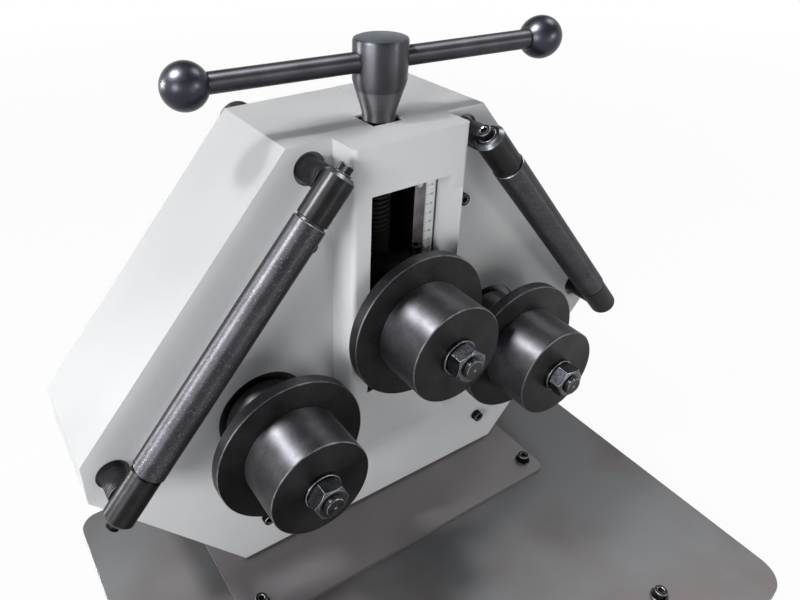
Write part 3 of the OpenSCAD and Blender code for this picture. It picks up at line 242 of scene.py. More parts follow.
# Black enamel on the crank, brushed on: deep and half glossy
enamelLook = {
    "dull": "#17181A", "clear": "#1E1F21", "cloudMm": 30, "peelMm": 2.2,
    "peelDepthMm": 0.02, "roughness": (0.25, 0.34), "ior": 1.5, "gloss": 0.5}
blackEnamel = speckledPaint("blackEnamel", enamelLook)

# Moulded phenolic on the crank grip: glossy black with faint flow clouds
phenolic = speckledPaint("phenolic", dict(
    enamelLook, dull="#0E0E0F", clear="#141415", cloudMm=12, peelMm=3.0, peelDepthMm=0.01,
    roughness=(0.18, 0.25), ior=1.6))

# Printed aluminium scale with a white lacquer
scaleWhite = speckledPaint("scaleLacquer", dict(
    enamelLook, dull="#F0F1F2", clear="#F8F8F8", cloudMm=20, peelMm=0.8, peelDepthMm=0.004,
    roughness=(0.4, 0.5)))

# Screen-printed ink of the scale's marks
scaleInk = speckledPaint("scaleInk", dict(
    enamelLook, dull="#1B1B1C", clear="#262627", cloudMm=3, peelMm=0.4, peelDepthMm=0.002,
    roughness=(0.5, 0.6)))

# Turned steel after hot black oxide and oil: dark, satin and grainy, and its feed marks draw
# each highlight out lengthwise
blackLook = {
    "metallic": 0.85, "dark": "#1C1C1D", "light": "#2B2B2D", "feedMm": 0.9, "markShare": 0.5,
    "speckMm": 0.9, "cloudMm": 18, "roughness": (0.36, 0.52), "depthMm": 0.01,
    "paintedGlintSpecks": "#3E3E40", "stretchedGloss": 0.8}

# Running surface of a ring: greyer and more scattered where stock has rolled over it
runLook = dict(blackLook, dark="#353538", light="#4B4B4F", cloudMm=14, roughness=(0.46, 0.62),
               paintedGlintSpecks="#5C5C60")

# A long guide sleeve: the same finish with coarser specks, and paler painted glints on them
sleeveLook = dict(blackLook, dark="#303033", light="#444448", speckMm=1.1, cloudMm=25,
                  roughness=(0.4, 0.62), depthMm=0.014, paintedGlintSpecks="#77777B")

# The threads of the roller shafts and of the guide rods, a little paler on their crests
shaftThreadLook = dict(blackLook, light="#3C3C3E")
rodThreadLook = dict(blackLook, dark="#2B2B2C", light="#47474A")

# The hub's cone, turned again after blackening: grey and dull
coneLook = dict(blackLook, dark="#48474A", light="#5E5D60", feedMm=0.8, markShare=0.7,
                roughness=(0.42, 0.55), paintedGlintSpecks="#77777A")

# The handle's hub, bar and balls: oiled black steel that hands keep bright
hubLook = dict(blackLook, dark="#343438", light="#46464B", cloudMm=30, roughness=(0.38, 0.5))
# The hub's top face: the same steel, lighter and bluish as a painted reflection of the light
# above
hubTopReflectionLook = dict(blackLook, dark="#3E444A", light="#515960", roughness=(0.4, 0.5),
                  stretchedGloss=0.2)
barLook = dict(hubLook, roughness=(0.42, 0.52))
ballLook = dict(hubLook, dark="#2B2C32", light="#383A42", roughness=(0.3, 0.38),
                stretchedGloss=0.2)

# Black oxide rubbed bright on a sharp edge, and lighter still as a painted highlight
edgeWearAndHighlightLook = {
    "metallic": 1.0, "dark": "#5A5A5C", "light": "#858588", "feedMm": 2.0, "markShare": 0.2,
    "speckMm": 1.5, "cloudMm": 6, "roughness": (0.3, 0.45), "depthMm": 0.002}
wornEdgeAndHighlight = turnedMetal("wornEdgeAndHighlight", edgeWearAndHighlightLook)

# Ring edges: the oxide is only thinned there, and the lighter colour is partly a painted
# highlight
rubbedEdgeAndHighlight = turnedMetal("rubbedEdgeAndHighlight", dict(
    edgeWearAndHighlightLook, metallic=0.9, dark="#454547", light="#7A7A7D", cloudMm=9, roughness=(0.34, 0.48)))

# Plate edges, dressed with a file: half smooth, and lighter partly as a painted highlight along
# the rounded edge
dressedEdgeAndHighlight = turnedMetal("dressedPlateEdgeAndHighlight", dict(
    edgeWearAndHighlightLook, dark="#6E6E70", light="#939396", feedMm=3.0, speckMm=2.0, cloudMm=12,
    roughness=(0.2, 0.3)))

# A turned chamfer with its feed marks, painted lighter than the black steel: a painted
# highlight
chamferHighlight = turnedMetal("chamferHighlight", {
    "metallic": 1.0, "dark": "#46494B", "light": "#6C7073", "feedMm": 0.7, "markShare": 0.8,
    "speckMm": 1.0, "cloudMm": 8, "roughness": (0.3, 0.42), "depthMm": 0.01})

# Black oxide screws, oiled
screwLook = {
    "metallic": 1.0, "dark": "#1D1D1F", "light": "#2C2C2E", "feedMm": 0.6, "markShare": 0.3,
    "speckMm": 0.8, "cloudMm": 5, "roughness": (0.28, 0.42), "depthMm": 0.005}
blackScrew = turnedMetal("blackOxideScrew", screwLook)

# Black oxide nuts: flats ground before blackening, so they catch the light
nutBlack = turnedMetal("blackOxideNut", dict(
    screwLook, dark="#3A3C40", light="#585B60", feedMm=0.8, speckMm=0.9, cloudMm=7,
    roughness=(0.24, 0.36), depthMm=0.008))

# Plain turned steel of the drive shaft, oiled
turnedSteel = turnedMetal("turnedSteel", {
    "metallic": 1.0, "dark": "#8B8B8C", "light": "#A9A8A6", "feedMm": 1.2, "markShare": 0.6,
    "speckMm": 1.0, "cloudMm": 20, "roughness": (0.22, 0.34), "depthMm": 0.006})

# Hobbed and oiled gear steel
gearLook = {
    "metallic": 1.0, "dark": "#5F5F60", "light": "#7C7B79", "feedMm": 1.5, "markShare": 0.5,
    "speckMm": 1.0, "cloudMm": 15, "roughness": (0.3, 0.42), "depthMm": 0.006}
gearSteel = turnedMetal("gearSteel", gearLook)

# The spindle's rolled thread, dark with grease
spindleSteel = turnedMetal("greasedSpindle", dict(
    gearLook, metallic=0.8, dark="#1F1E1D", light="#2B2A28", feedMm=1.2, cloudMm=12,
    roughness=(0.5, 0.6)))

# Zinc-plated small screws
zincPlate = turnedMetal("zincPlate", dict(
    screwLook, dark="#B5B7B8", light="#D0D2D2", feedMm=0.5, speckMm=0.6, cloudMm=4,
    roughness=(0.2, 0.3), depthMm=0.003))

# Turned bearing bronze
bronze = turnedMetal("bearingBronze", dict(
    gearLook, dark="#9A7645", light="#BE9658", feedMm=1.0, cloudMm=10, roughness=(0.25, 0.38)))

# Cold-rolled and phosphated table plate: grey, dull, with faint rolling streaks along X
plateLook = {
    "metallic": 0.5, "dark": "#5E5959", "light": "#646567", "stretch": (0.08, 1, 1),
    "streakMm": 1.5, "streakShare": 0.08, "patchEdge": 0.07, "cloudMm": 170,
    "roughness": (0.42, 0.46), "depthMm": 0.003}
tablePlate = rolledMetal("phosphatedPlate", plateLook)

# Base plate: the same steel, lighter and smoother, with large soft oil stains
basePlate = rolledMetal("oiledPlate", dict(
    plateLook, dark="#787275", light="#817D7F", patchEdge=0.15, cloudMm=120,
    roughness=(0.38, 0.43)))

# Ground steel of the frame plates and the bracket, oiled against rust
frameSteel = rolledMetal("groundFrameSteel", {
    "metallic": 1.0, "dark": "#606062", "light": "#69696B", "stretch": (0.1, 1, 1),
    "streakMm": 1.0, "streakShare": 0.6, "patchEdge": 0.3, "cloudMm": 70,
    "roughness": (0.38, 0.43), "depthMm": 0.005})

# Ground and blackened tool steel of the carriage and its keepers
toolSteel = rolledMetal("blackenedToolSteel", {
    "metallic": 0.7, "dark": "#39393B", "light": "#4A4A4D", "stretch": (1, 1, 0.1),
    "streakMm": 0.9, "streakShare": 0.6, "patchEdge": 0.2, "cloudMm": 18,
    "roughness": (0.3, 0.42), "depthMm": 0.005})

# Ground steel of the wear strips, polished by the sliding keepers
wearSteel = rolledMetal("slideSteel", {
    "metallic": 1.0, "dark": "#666265", "light": "#807C7F", "stretch": (1, 1, 0.08),
    "streakMm": 0.8, "streakShare": 0.7, "patchEdge": 0.2, "cloudMm": 14,
    "roughness": (0.28, 0.4), "depthMm": 0.004})

print("materials made")


# Shapes: each is a bmesh round its own Z axis, in metres

sharpEdge = 30  # degrees between two faces, from which their edge is hard
hexAngle = radians(30)
hexFace = 0.94  # where a nut's chamfer meets its face, as a share of the flats
hexSteps = 72

# outward as a share of the depth, and along as a share of the pitch
threadProfile = ((0, 0), (0, 0.12), (1, 0.44), (1, 0.68), (0, 1))

capHead = {
    "ribs": 48,
    "ribDepth": 0.25 * mm,
    "mouth": 1.08,  # width of the countersink, as a share of the socket over its corners
    "sink": 0.5,  # depth of the countersink for its width
    "depth": 0.5,  # of the head's height
}

slopes = {"end": 0.95, "chamfer": 0.3}  # a face counts as these from this slope on

gaps = {
    "weld": 0.002 * mm,  # vertices nearer than this become one
    "copyWeld": 0.005 * mm,
    "threadWeld": 0.01,  # of the pitch
    "cut": 1e-7,
    "rim": 0.1 * mm,  # a vertex this near the rim is on it
}


def weld(shape, gap=gaps["weld"]):
    bmesh.ops.remove_doubles(shape, verts=shape.verts, dist=gap)


def edgesOf(parts):
    return [part for part in parts if isinstance(part, bmesh.types.BMEdge)]


def cutOff(shape, point, way):
    # all that lies beyond the plane goes, and the cut is closed
    cut = bmesh.ops.bisect_plane(
        shape, geom=shape.verts[:] + shape.edges[:] + shape.faces[:], dist=gaps["cut"],
        plane_co=point, plane_no=way, clear_outer=True)
    bmesh.ops.contextual_create(shape, geom=edgesOf(cut["geom_cut"]))


def turnedShape(profile, steps, closed=True):
    shape = bmesh.new()
    verts = [shape.verts.new((radius, 0, height)) for radius, height in profile]
    pairs = list(zip(verts, verts[1:]))
    if closed and (profile[0][0] > 0 or profile[-1][0] > 0):
        pairs.append((verts[-1], verts[0]))
    edges = [shape.edges.new(pair) for pair in pairs]
    bmesh.ops.spin(shape, geom=verts + edges, cent=(0, 0, 0), axis=(0, 0, 1), dvec=(0, 0, 0),
                   angle=2 * pi, steps=steps, use_merge=True, use_duplicate=False)
    return shape


def rodShape(radius, start, end, steps):
    return turnedShape([(0, start), (radius, start), (radius, end), (0, end)], steps)


def ringShape(radius, bore, start, end, chamfer, steps):
    return turnedShape([(bore, start), (radius - chamfer, start), (radius, start + chamfer),
                        (radius, end - chamfer), (radius - chamfer, end), (bore, end)], steps)


def threadShape(crest, depth, pitch, low, high, steps):
    # a cut thread: one pitch of its profile runs round and up, and both ends are closed
    shape = bmesh.new()
    turns = ceil((high - low) / pitch)
    pitch = (high - low) / turns
    verts = [shape.verts.new((crest - depth + out * depth, 0, low - pitch + along * pitch))
             for out, along in threadProfile]
    edges = [shape.edges.new(pair) for pair in zip(verts, verts[1:])]
    bmesh.ops.spin(shape, geom=verts + edges, cent=(0, 0, 0), axis=(0, 0, 1),
                   dvec=(0, 0, pitch / steps), angle=2 * pi * (turns + 1),
                   steps=steps * (turns + 1), use_merge=False, use_duplicate=False)
    weld(shape, pitch * gaps["threadWeld"])
    cutOff(shape, (0, 0, low), (0, 0, -1))
    cutOff(shape, (0, 0, high), (0, 0, 1))
    return shape


def hexShape(acrossFlats, low, high, bore=0, chamferLow=True):
    # turned with 30 degree chamfers first, then six flats are cut
    flat = acrossFlats / 2
    face = flat * hexFace
    corner = flat / cos(hexAngle)
    drop = (corner - face) * tan(hexAngle)
    start = [(face, low), (corner, low + drop)] if chamferLow else [(corner, low)]
    shape = turnedShape([(bore, low), *start, (corner, high - drop), (face, high),
                         (bore, high)], hexSteps)
    weld(shape)
    for side in range(6):
        way = (cos(side * pi / 3), sin(side * pi / 3), 0)
        cutOff(shape, [flat * part for part in way], way)
    return shape


def knurlRim(shape, radius, ribs, depth):
    # every second step of the rim is pressed in
    for vert in shape.verts:
        step = round(atan2(vert.co.y, vert.co.x) * ribs / pi)
        if step % 2 and hypot(vert.co.x, vert.co.y) > radius - gaps["rim"]:
            vert.co.xy *= 1 - depth / radius


def socketHeadShape(radius, height, flats, edge):
    # socket cap head: straight knurl round the rim, a countersunk mouth and a hexagon socket
    steps = 2 * capHead["ribs"]
    corner = flats / 2 / cos(hexAngle)
    mouth = corner * capHead["mouth"]
    shape = turnedShape([(mouth, height), (radius - edge, height), (radius, height - edge),
                         (radius, edge), (radius - edge, 0), (0, 0)], steps, False)
    weld(shape)
    knurlRim(shape, radius, capHead["ribs"], capHead["ribDepth"])
    rim = [edge for edge in shape.edges if edge.is_boundary]
    socket = bmesh.ops.create_circle(shape, segments=6, radius=corner)["verts"]
    sides = list({edge for vert in socket for edge in vert.link_edges})
    bmesh.ops.subdivide_edges(shape, edges=sides, cuts=steps // 6 - 1)
    sides = [edge for edge in shape.edges if edge.is_wire]
    socket = list({vert for edge in sides for vert in edge.verts})
    bmesh.ops.translate(shape, vec=(0, 0, height - (mouth - flats / 2) * capHead["sink"]),
                        verts=socket)
    bmesh.ops.bridge_loops(shape, edges=rim + sides)
    down = bmesh.ops.extrude_edge_only(shape, edges=sides)["geom"]
    deep = [part for part in down if isinstance(part, bmesh.types.BMVert)]
    bmesh.ops.translate(shape, vec=(0, 0, -height * capHead["depth"]), verts=deep)
    bmesh.ops.contextual_create(shape, geom=[
        edge for edge in edgesOf(down) if all(vert in deep for vert in edge.verts)])
    return shape


def addShape(target, shape, place, bright=True, ends=0):
    # chamfers take the second material, and end faces the one that ends names
    weld(shape)
    bmesh.ops.recalc_face_normals(shape, faces=shape.faces)
    for face in shape.faces:
        slope = abs(face.normal.z)
        chamfer = 1 if bright and slope > slopes["chamfer"] else 0
        face.material_index = ends if slope > slopes["end"] else chamfer
    bmesh.ops.transform(shape, matrix=place, verts=shape.verts)
    mesh = bpy.data.meshes.new("part")
    shape.to_mesh(mesh)
    shape.free()
    target.from_mesh(mesh)
    bpy.data.meshes.remove(mesh)


def finishPiece(name, bm, materials, body, replaced=(), sharpAngle=sharpEdge):
    mesh = bpy.data.meshes.new(name)
    bm.to_mesh(mesh)
    bm.free()
    for material in materials:
        mesh.materials.append(material)
    mesh.polygons.foreach_set("use_smooth", [True] * len(mesh.polygons))
    mesh.set_sharp_from_angle(angle=radians(sharpAngle))
    piece = bpy.data.objects.new(name, mesh)
    bpy.context.scene.collection.objects.link(piece)
    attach(piece, body)
    if replaced:
        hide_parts(*replaced)
    return piece


def alongY(x, z):
    # a place whose local Z runs to the rear
    return Matrix.Translation((x, 0, z)) @ Matrix.Rotation(-pi / 2, 4, "X")


def facingFront(x, y, z):
    # a place whose local Z runs to the front
    return Matrix.Translation((x, y, z)) @ Matrix.Rotation(pi / 2, 4, "X")


def softenEdges(piece, width, segments=1, marked=True):
    bevel = piece.modifiers.new("edges", "BEVEL")
    bevel.width = width
    bevel.segments = segments
    bevel.limit_method = "ANGLE"
    bevel.angle_limit = radians(sharpEdge)
    bevel.harden_normals = True
    if marked:
        bevel.material = 1


def solidBoxes(node):
    # the lowest and highest corner of each separate solid of a node
    bm = bmesh.new()
    bm.from_mesh(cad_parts[node].data)
    weld(bm)
    seen, boxes = set(), []
    for start in bm.verts:
        if start in seen:
            continue
        seen.add(start)
        queue, places = [start], []
        while queue:
            vert = queue.pop()
            places.append(vert.co.copy())
            for edge in vert.link_edges:
                other = edge.other_vert(vert)
                if other not in seen:
                    seen.add(other)
                    queue.append(other)
        boxes.append((Vector([min(place[i] for place in places) for i in range(3)]),
                      Vector([max(place[i] for place in places) for i in range(3)])))
    bm.free()
    return boxes


def middle(node):
    low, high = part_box(node)
    return (low + high) / 2


def dress(material, *nodes):
    for node in nodes:
        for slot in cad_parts[node].material_slots:
            slot.material = material


# Housing and plates: CAD nodes with their edges rounded on a copy

# width and segments of each rounding
roundings = {
    "cover": (0.9 * mm, 3),
    "strip": (0.8 * mm, 2),
    "table": (0.5 * mm, 2),
    "base": (0.8 * mm, 2),
}
flatAngle = radians(0.5)  # faces this much alike become one


def roundedCopy(name, node, slot, materials, width, segments):
    bm = bmesh.new()
    bm.from_mesh(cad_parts[node].data)
    weld(bm, gaps["copyWeld"])
    bmesh.ops.dissolve_limit(bm, angle_limit=flatAngle, verts=bm.verts, edges=bm.edges)
    for face in bm.faces:
        face.material_index = 0
    piece = finishPiece(name, bm, materials, "frame", [node])
    softenEdges(piece, width, segments, len(materials) > 1)


roundedCopy("housingCover", "cover", "light grey powder coat", [powderCoat],
            *roundings["cover"])
roundedCopy("housingTopStrip", "top_strip", "light grey powder coat", [powderCoat],
            *roundings["strip"])
roundedCopy("tablePlate", "table_plate", "grey plate steel", [tablePlate, dressedEdgeAndHighlight],
            *roundings["table"])
roundedCopy("basePlate", "base_plate", "ground plate steel", [basePlate, dressedEdgeAndHighlight],
            *roundings["base"])
print("housing and plates rounded")

# The nodes that stay as the CAD made them

dress(frameSteel, "front_plate", "rear_plate", "spindle_bracket", "tie_bars")
dress(blackScrew, "frame_screws", "carriage_screws", "crank_fasteners")
dress(zincPlate, "strip_screws")
dress(bronze, "spindle_nut", "shaft_bushes", "upper_bushes")
dress(toolSteel, "carriage", "front_keeper", "rear_keeper", "spindle_retainer")
dress(wearSteel, "slide_strips")
dress(scaleWhite, "scale_strip")
dress(gearSteel, "lower_left_gear", "lower_right_gear", "drive_pinion")
dress(turnedSteel, "drive_shaft")
dress(blackEnamel, "crank_arm")
dress(phenolic, "crank_grip")


# Screws that show: knurled socket heads, on washers where they hold the plates

screwSizes = {
    "headRadius": 6.5 * mm,
    "headHeight": 8 * mm,
    "socketFlats": 6 * mm,
    "shankRadius": 4 * mm,
    "shankSteps": 32,
    "edge": 0.7 * mm,
    "washerEdge": 0.3 * mm,
    "washerSteps": 64,
}


def addScrew(bm, place, shank):
    sizes = screwSizes
    addShape(bm, socketHeadShape(sizes["headRadius"], sizes["headHeight"],
                                 sizes["socketFlats"], sizes["edge"]), place)
    addShape(bm, rodShape(sizes["shankRadius"], 0, -shank, sizes["shankSteps"]),
             place, False)


def makeScrews():
    sizes = screwSizes
    bm = bmesh.new()
    for low, high in solidBoxes("plate_screws"):
        x, y = (low.x + high.x) / 2, (low.y + high.y) / 2
        if high.z - low.z > sizes["headHeight"]:
            seat = high.z - sizes["headHeight"]
            addScrew(bm, Matrix.Translation((x, y, seat)), seat - low.z)
        else:
            addShape(bm, ringShape((high.x - low.x) / 2, sizes["shankRadius"], low.z, high.z,
                                   sizes["washerEdge"], sizes["washerSteps"]),
                     Matrix.Translation((x, y, 0)))
    finishPiece("plate_screws_knurled", bm, [blackScrew, wornEdgeAndHighlight], "frame",
                ["plate_screws"])
    bm = bmesh.new()
    for low, high in solidBoxes("cover_screws"):
        seat = low.y + sizes["headHeight"]
        addScrew(bm, facingFront((low.x + high.x) / 2, seat, (low.z + high.z) / 2),
                 high.y - seat)
    finishPiece("cover_screws_knurled", bm, [blackScrew, wornEdgeAndHighlight], "frame",
                ["cover_screws"])


# Rollers: rings, nut and washer, and the shaft with its cut thread

rollerSizes = {
    "bore": 15.05 * mm,
    "ringChamfer": 0.8 * mm,
    "seatRadius": 15 * mm,
    "threadRadius": 10 * mm,
    "threadDepth": 1.2 * mm,
    "threadPitch": 2.5 * mm,
    "threadStart": 0.7 * mm,  # behind the shaft's tip
    "tipChamfer": 0.6 * mm,
    "centreHole": 1.6 * mm,
    "nutFlats": 30 * mm,
    "nutHeight": 14.9 * mm,
    "nutEdge": 0.25 * mm,
    "nutGap": 0.1 * mm,
    "nutTurn": {"lower_left": -25, "lower_right": -23, "upper": 10},  # as each was tightened
    "washerRadius": 18 * mm,
    "washerChamfer": 0.6 * mm,
    "rearRadius": {"lower_left": 21 * mm, "lower_right": 21 * mm, "upper": 22.5 * mm},
    "rearThick": 4 * mm,
    "rearBoltFlats": 17 * mm,
    "ringSteps": 160,
    "threadSteps": 36,
    "steps": 72,
}


def makeRoller(prefix, body):
    sizes = rollerSizes
    centre = middle(prefix + "_flange_ring")
    place = alongY(centre.x, centre.z)
    axis, turn = (centre.x, 0, centre.z), (-pi / 2, 0, 0)
    black = turnedMetal(prefix + "BlackOxide", blackLook, axis, turn)
    running = turnedMetal(prefix + "RunningSurface", runLook, axis, turn)
    threadBlack = turnedMetal(prefix + "Thread", shaftThreadLook, axis, turn)
    for ring in ("rear_ring", "flange_ring", "front_ring"):
        node = f"{prefix}_{ring}"
        low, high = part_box(node)
        bm = bmesh.new()
        addShape(bm, ringShape((high.x - low.x) / 2, sizes["bore"], low.y, high.y,
                               sizes["ringChamfer"], sizes["ringSteps"]), place, True, 2)
        finishPiece(node + "_turned", bm, [running, rubbedEdgeAndHighlight, black], body,
                    [node])

    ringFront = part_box(prefix + "_front_ring")[0].y
    shaftFront, shaftRear = (corner.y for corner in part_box(prefix + "_shaft"))
    nutFront, boltRear = (corner.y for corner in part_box(prefix + "_fasteners"))
    nutRear = nutFront + sizes["nutHeight"]
    washerFront = nutRear + sizes["nutGap"]
    plateRear = shaftRear + sizes["rearThick"]
    radius, chamfer, steps = sizes["threadRadius"], sizes["washerChamfer"], sizes["steps"]

    bm = bmesh.new()
    addShape(bm, ringShape(sizes["washerRadius"], radius, washerFront, ringFront, chamfer,
                           steps), place)
    addShape(bm, hexShape(sizes["nutFlats"], nutFront, nutRear, radius),
             place @ Matrix.Rotation(radians(sizes["nutTurn"][prefix]), 4, "Z"), False)
    addShape(bm, ringShape(sizes["rearRadius"][prefix], 0, shaftRear, plateRear, chamfer,
                           steps), place)
    addShape(bm, hexShape(sizes["rearBoltFlats"], plateRear, boltRear, chamferLow=False),
             place, False)
    softenEdges(finishPiece(prefix + "_nut", bm, [nutBlack, wornEdgeAndHighlight], body,
                            [prefix + "_fasteners"]), sizes["nutEdge"])

    bm = bmesh.new()
    core, hole, tip = radius - sizes["threadDepth"], sizes["centreHole"], sizes["tipChamfer"]
    # the centre hole's cone and the tip's chamfer take the lighter edge material: a painted
    # highlight
    addShape(bm, turnedShape([
        (0, shaftFront + hole), (hole, shaftFront), (core - tip, shaftFront),
        (core, shaftFront + tip), (core, ringFront), (0, ringFront)], steps), place)
    addShape(bm, threadShape(radius, sizes["threadDepth"], sizes["threadPitch"],
                             shaftFront + sizes["threadStart"], washerFront,
                             sizes["threadSteps"]), place, False)
    addShape(bm, rodShape(sizes["seatRadius"], ringFront, shaftRear, steps), place, False)
    finishPiece(prefix + "_threaded_shaft", bm, [threadBlack, wornEdgeAndHighlight], body,
                [prefix + "_shaft"])


makeScrews()
makeRoller("lower_left", "lower_left_roller")
makeRoller("lower_right", "lower_right_roller")
makeRoller("upper", "upper_roller")
print("screws and rollers made")


# Guide rollers: sleeve, end blocks, axle bolt, threaded rods and knurled knobs

guideSizes = {
    "sleeveRadius": 15.5 * mm,
    "sleeveHalf": 124 * mm,
    "collarRadius": 12.9 * mm,
    "collarHalf": 126.07 * mm,
    "blockRadius": 14.5 * mm,
    "blockStart": 126.37 * mm,
    "blockTop": 11 * mm,  # beyond the upper rod
    "blockLow": 16.5 * mm,  # beyond the lower rod
    "topChamfer": 3.2 * mm,
    "lowChamfer": 4.1 * mm,
    "edge": 0.7 * mm,
    "steps": 96,
}

axleSizes = {
    "radius": 6 * mm,
    "fit": 0.01 * mm,
    "proud": 8 * mm,
    "pitch": 1.75 * mm,
    "depth": 0.9 * mm,
    "threadStart": 1 * mm,  # above the lower end, like the next two
    "tipHeight": 1.1 * mm,
    "coreStart": 4 * mm,
    "tipRadii": (4.8 * mm, 5.7 * mm),
    "washerRadius": 8.5 * mm,
    "washerThick": 1.5 * mm,
    "washerEdge": 0.4 * mm,
    "headRadius": 6.5 * mm,
    "headHeight": 7 * mm,
    "headEdge": 0.7 * mm,
    "socketFlats": 6 * mm,
    "washerSteps": 72,
    "threadSteps": 32,
    "steps": 48,
}

rodSizes = {
    "radius": 12 * mm,
    "depth": 1.7 * mm,
    "pitch": 3 * mm,
    "journal": 9 * mm,
    "plain": 0.8,  # of the block's radius has no thread
    "tipHeight": 1.2 * mm,
    "tipFlare": 1 * mm,
    "threadSteps": 28,
    "steps": 48,
}

knobSizes = {
    "neckRadius": 0.8,  # of the knob's radius
    "neckLength": 1 / 6,  # of the knob's length
    "edge": 1.5 * mm,
    "ribs": 64,
    "ribDepth": 0.5 * mm,
    "sharpAngle": 15,  # degrees, so that the ribs stay crisp
}


def makeKnob(side, level, black):
    node = f"guide_{side}_{level}_knob"
    low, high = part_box(node)
    centre = (low + high) / 2
    radius, bore = (high.x - low.x) / 2, rodSizes["radius"]
    neck, edge = radius * knobSizes["neckRadius"], knobSizes["edge"]
    neckEnd = low.y + (high.y - low.y) * knobSizes["neckLength"]
    shape = turnedShape([
        (bore, low.y), (neck, low.y), (neck, neckEnd), (radius - edge, neckEnd),
        (radius, neckEnd + edge), (radius, high.y - edge), (radius - edge, high.y),
        (bore, high.y)], 2 * knobSizes["ribs"])
    weld(shape)
    knurlRim(shape, radius, knobSizes["ribs"], knobSizes["ribDepth"])
    bm = bmesh.new()
    addShape(bm, shape, alongY(centre.x, centre.z))
    finishPiece(node + "_knurled", bm, [black, wornEdgeAndHighlight], node, [node],
                knobSizes["sharpAngle"])


def makeSleeve(body, place, metal):
    sizes = guideSizes
    radius, edge, end = sizes["sleeveRadius"], sizes["edge"], sizes["sleeveHalf"]
    bore, collar, collarEnd = axleSizes["radius"], sizes["collarRadius"], sizes["collarHalf"]
    half = [(bore, -collarEnd), (collar, -collarEnd), (collar, -end), (radius - edge, -end),
            (radius, -end + edge)]
    bm = bmesh.new()
    addShape(bm, turnedShape(half + [(r, -h) for r, h in reversed(half)], sizes["steps"]),
             place)
    finishPiece(body + "_sleeve_turned", bm, [metal, wornEdgeAndHighlight], body + "_roller",
                [body + "_sleeve"])


def makeBlocks(body, place, low, top, metal):
    sizes = guideSizes
    radius, edge, bore = sizes["blockRadius"], sizes["edge"], axleSizes["radius"]
    start, topCut, lowCut = sizes["blockStart"], sizes["topChamfer"], sizes["lowChamfer"]
    bm = bmesh.new()
    # the upper block's chamfers take the painted highlight, the lower block's stay black
    addShape(bm, turnedShape([
        (bore, start), (radius - edge, start), (radius, start + edge), (radius, top - topCut),
        (radius - topCut, top), (bore, top)], sizes["steps"]), place)
    addShape(bm, turnedShape([
        (bore, low), (radius - lowCut, low), (radius, low + lowCut), (radius, -start - edge),
        (radius - edge, -start), (bore, -start)], sizes["steps"]), place, False)
    finishPiece(body + "_blocks_turned", bm, [metal, chamferHighlight], body,
                [body + "_blocks"])


def makeAxle(body, place, low, top):
    sizes = axleSizes
    radius, end = sizes["radius"], low - sizes["proud"]
    tipTop = end + sizes["tipHeight"]
    tipNarrow, tipWide = sizes["tipRadii"]
    washerTop = top + sizes["washerThick"]
    bm = bmesh.new()
    addShape(bm, rodShape(radius - sizes["fit"], end + sizes["coreStart"], top,
                          sizes["steps"]), place, False)
    addShape(bm, threadShape(radius, sizes["depth"], sizes["pitch"], end + sizes["threadStart"],
                             low, sizes["threadSteps"]), place, False)
    addShape(bm, turnedShape([(0, end), (tipNarrow, end), (tipWide, tipTop), (0, tipTop)],
                             sizes["steps"]), place, False)
    addShape(bm, ringShape(sizes["washerRadius"], 0, top, washerTop, sizes["washerEdge"],
                           sizes["washerSteps"]), place)
    addShape(bm, socketHeadShape(sizes["headRadius"], sizes["headHeight"],
                                 sizes["socketFlats"], sizes["headEdge"]),
             place @ Matrix.Translation((0, 0, washerTop)))
    finishPiece(body + "_axle_bolt", bm, [blackScrew, wornEdgeAndHighlight], body,
                [body + "_axle"])


def makeRods(body, depth, centres, metal):
    sizes = rodSizes
    front, rear = (corner.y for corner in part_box(body + "_rods"))
    threadFrom = depth + guideSizes["blockRadius"] * sizes["plain"]
    tip = rear - sizes["tipHeight"]
    core = sizes["radius"] - sizes["depth"]
    bm = bmesh.new()
    for centre in centres:
        place = alongY(centre.x, centre.z)
        addShape(bm, rodShape(sizes["journal"], front, threadFrom, sizes["steps"]),
                 place, False)
        addShape(bm, threadShape(sizes["radius"], sizes["depth"], sizes["pitch"],
                                 threadFrom, tip, sizes["threadSteps"]), place, False)
        addShape(bm, turnedShape([(0, tip), (core + sizes["tipFlare"], tip), (core, rear),
                                  (0, rear)], sizes["steps"]), place, False)
    finishPiece(body + "_threaded_rods", bm, [metal], body,
                [body + "_rods"])


def makeGuide(side):
    body, title = "guide_" + side, "guide" + side.title()
    upper = middle(body + "_upper_knob")
    lower = middle(body + "_lower_knob")
    depth = middle(body + "_sleeve").y
    tilt = atan2(upper.x - lower.x, upper.z - lower.z)
    half = hypot(upper.x - lower.x, upper.z - lower.z) / 2
    centre = Vector(((upper.x + lower.x) / 2, depth, (upper.z + lower.z) / 2))
    place = Matrix.Translation(centre) @ Matrix.Rotation(tilt, 4, "Y")
    turn = (0, tilt, 0)
    black = turnedMetal(title + "BlackOxide", blackLook, centre, turn)
    low, top = -half - guideSizes["blockLow"], half + guideSizes["blockTop"]
    makeSleeve(body, place, turnedMetal(title + "Sleeve", sleeveLook, centre, turn))
    makeBlocks(body, place, low, top, black)
    makeAxle(body, place, low, top)
    makeRods(body, depth, (upper, lower), turnedMetal(title + "Thread", rodThreadLook))
    for level in ("upper", "lower"):
        makeKnob(side, level, black)


makeGuide("left")
makeGuide("right")
print("guide rollers made")


# Handle: hub, tommy bar and balls, and the threaded spindle below

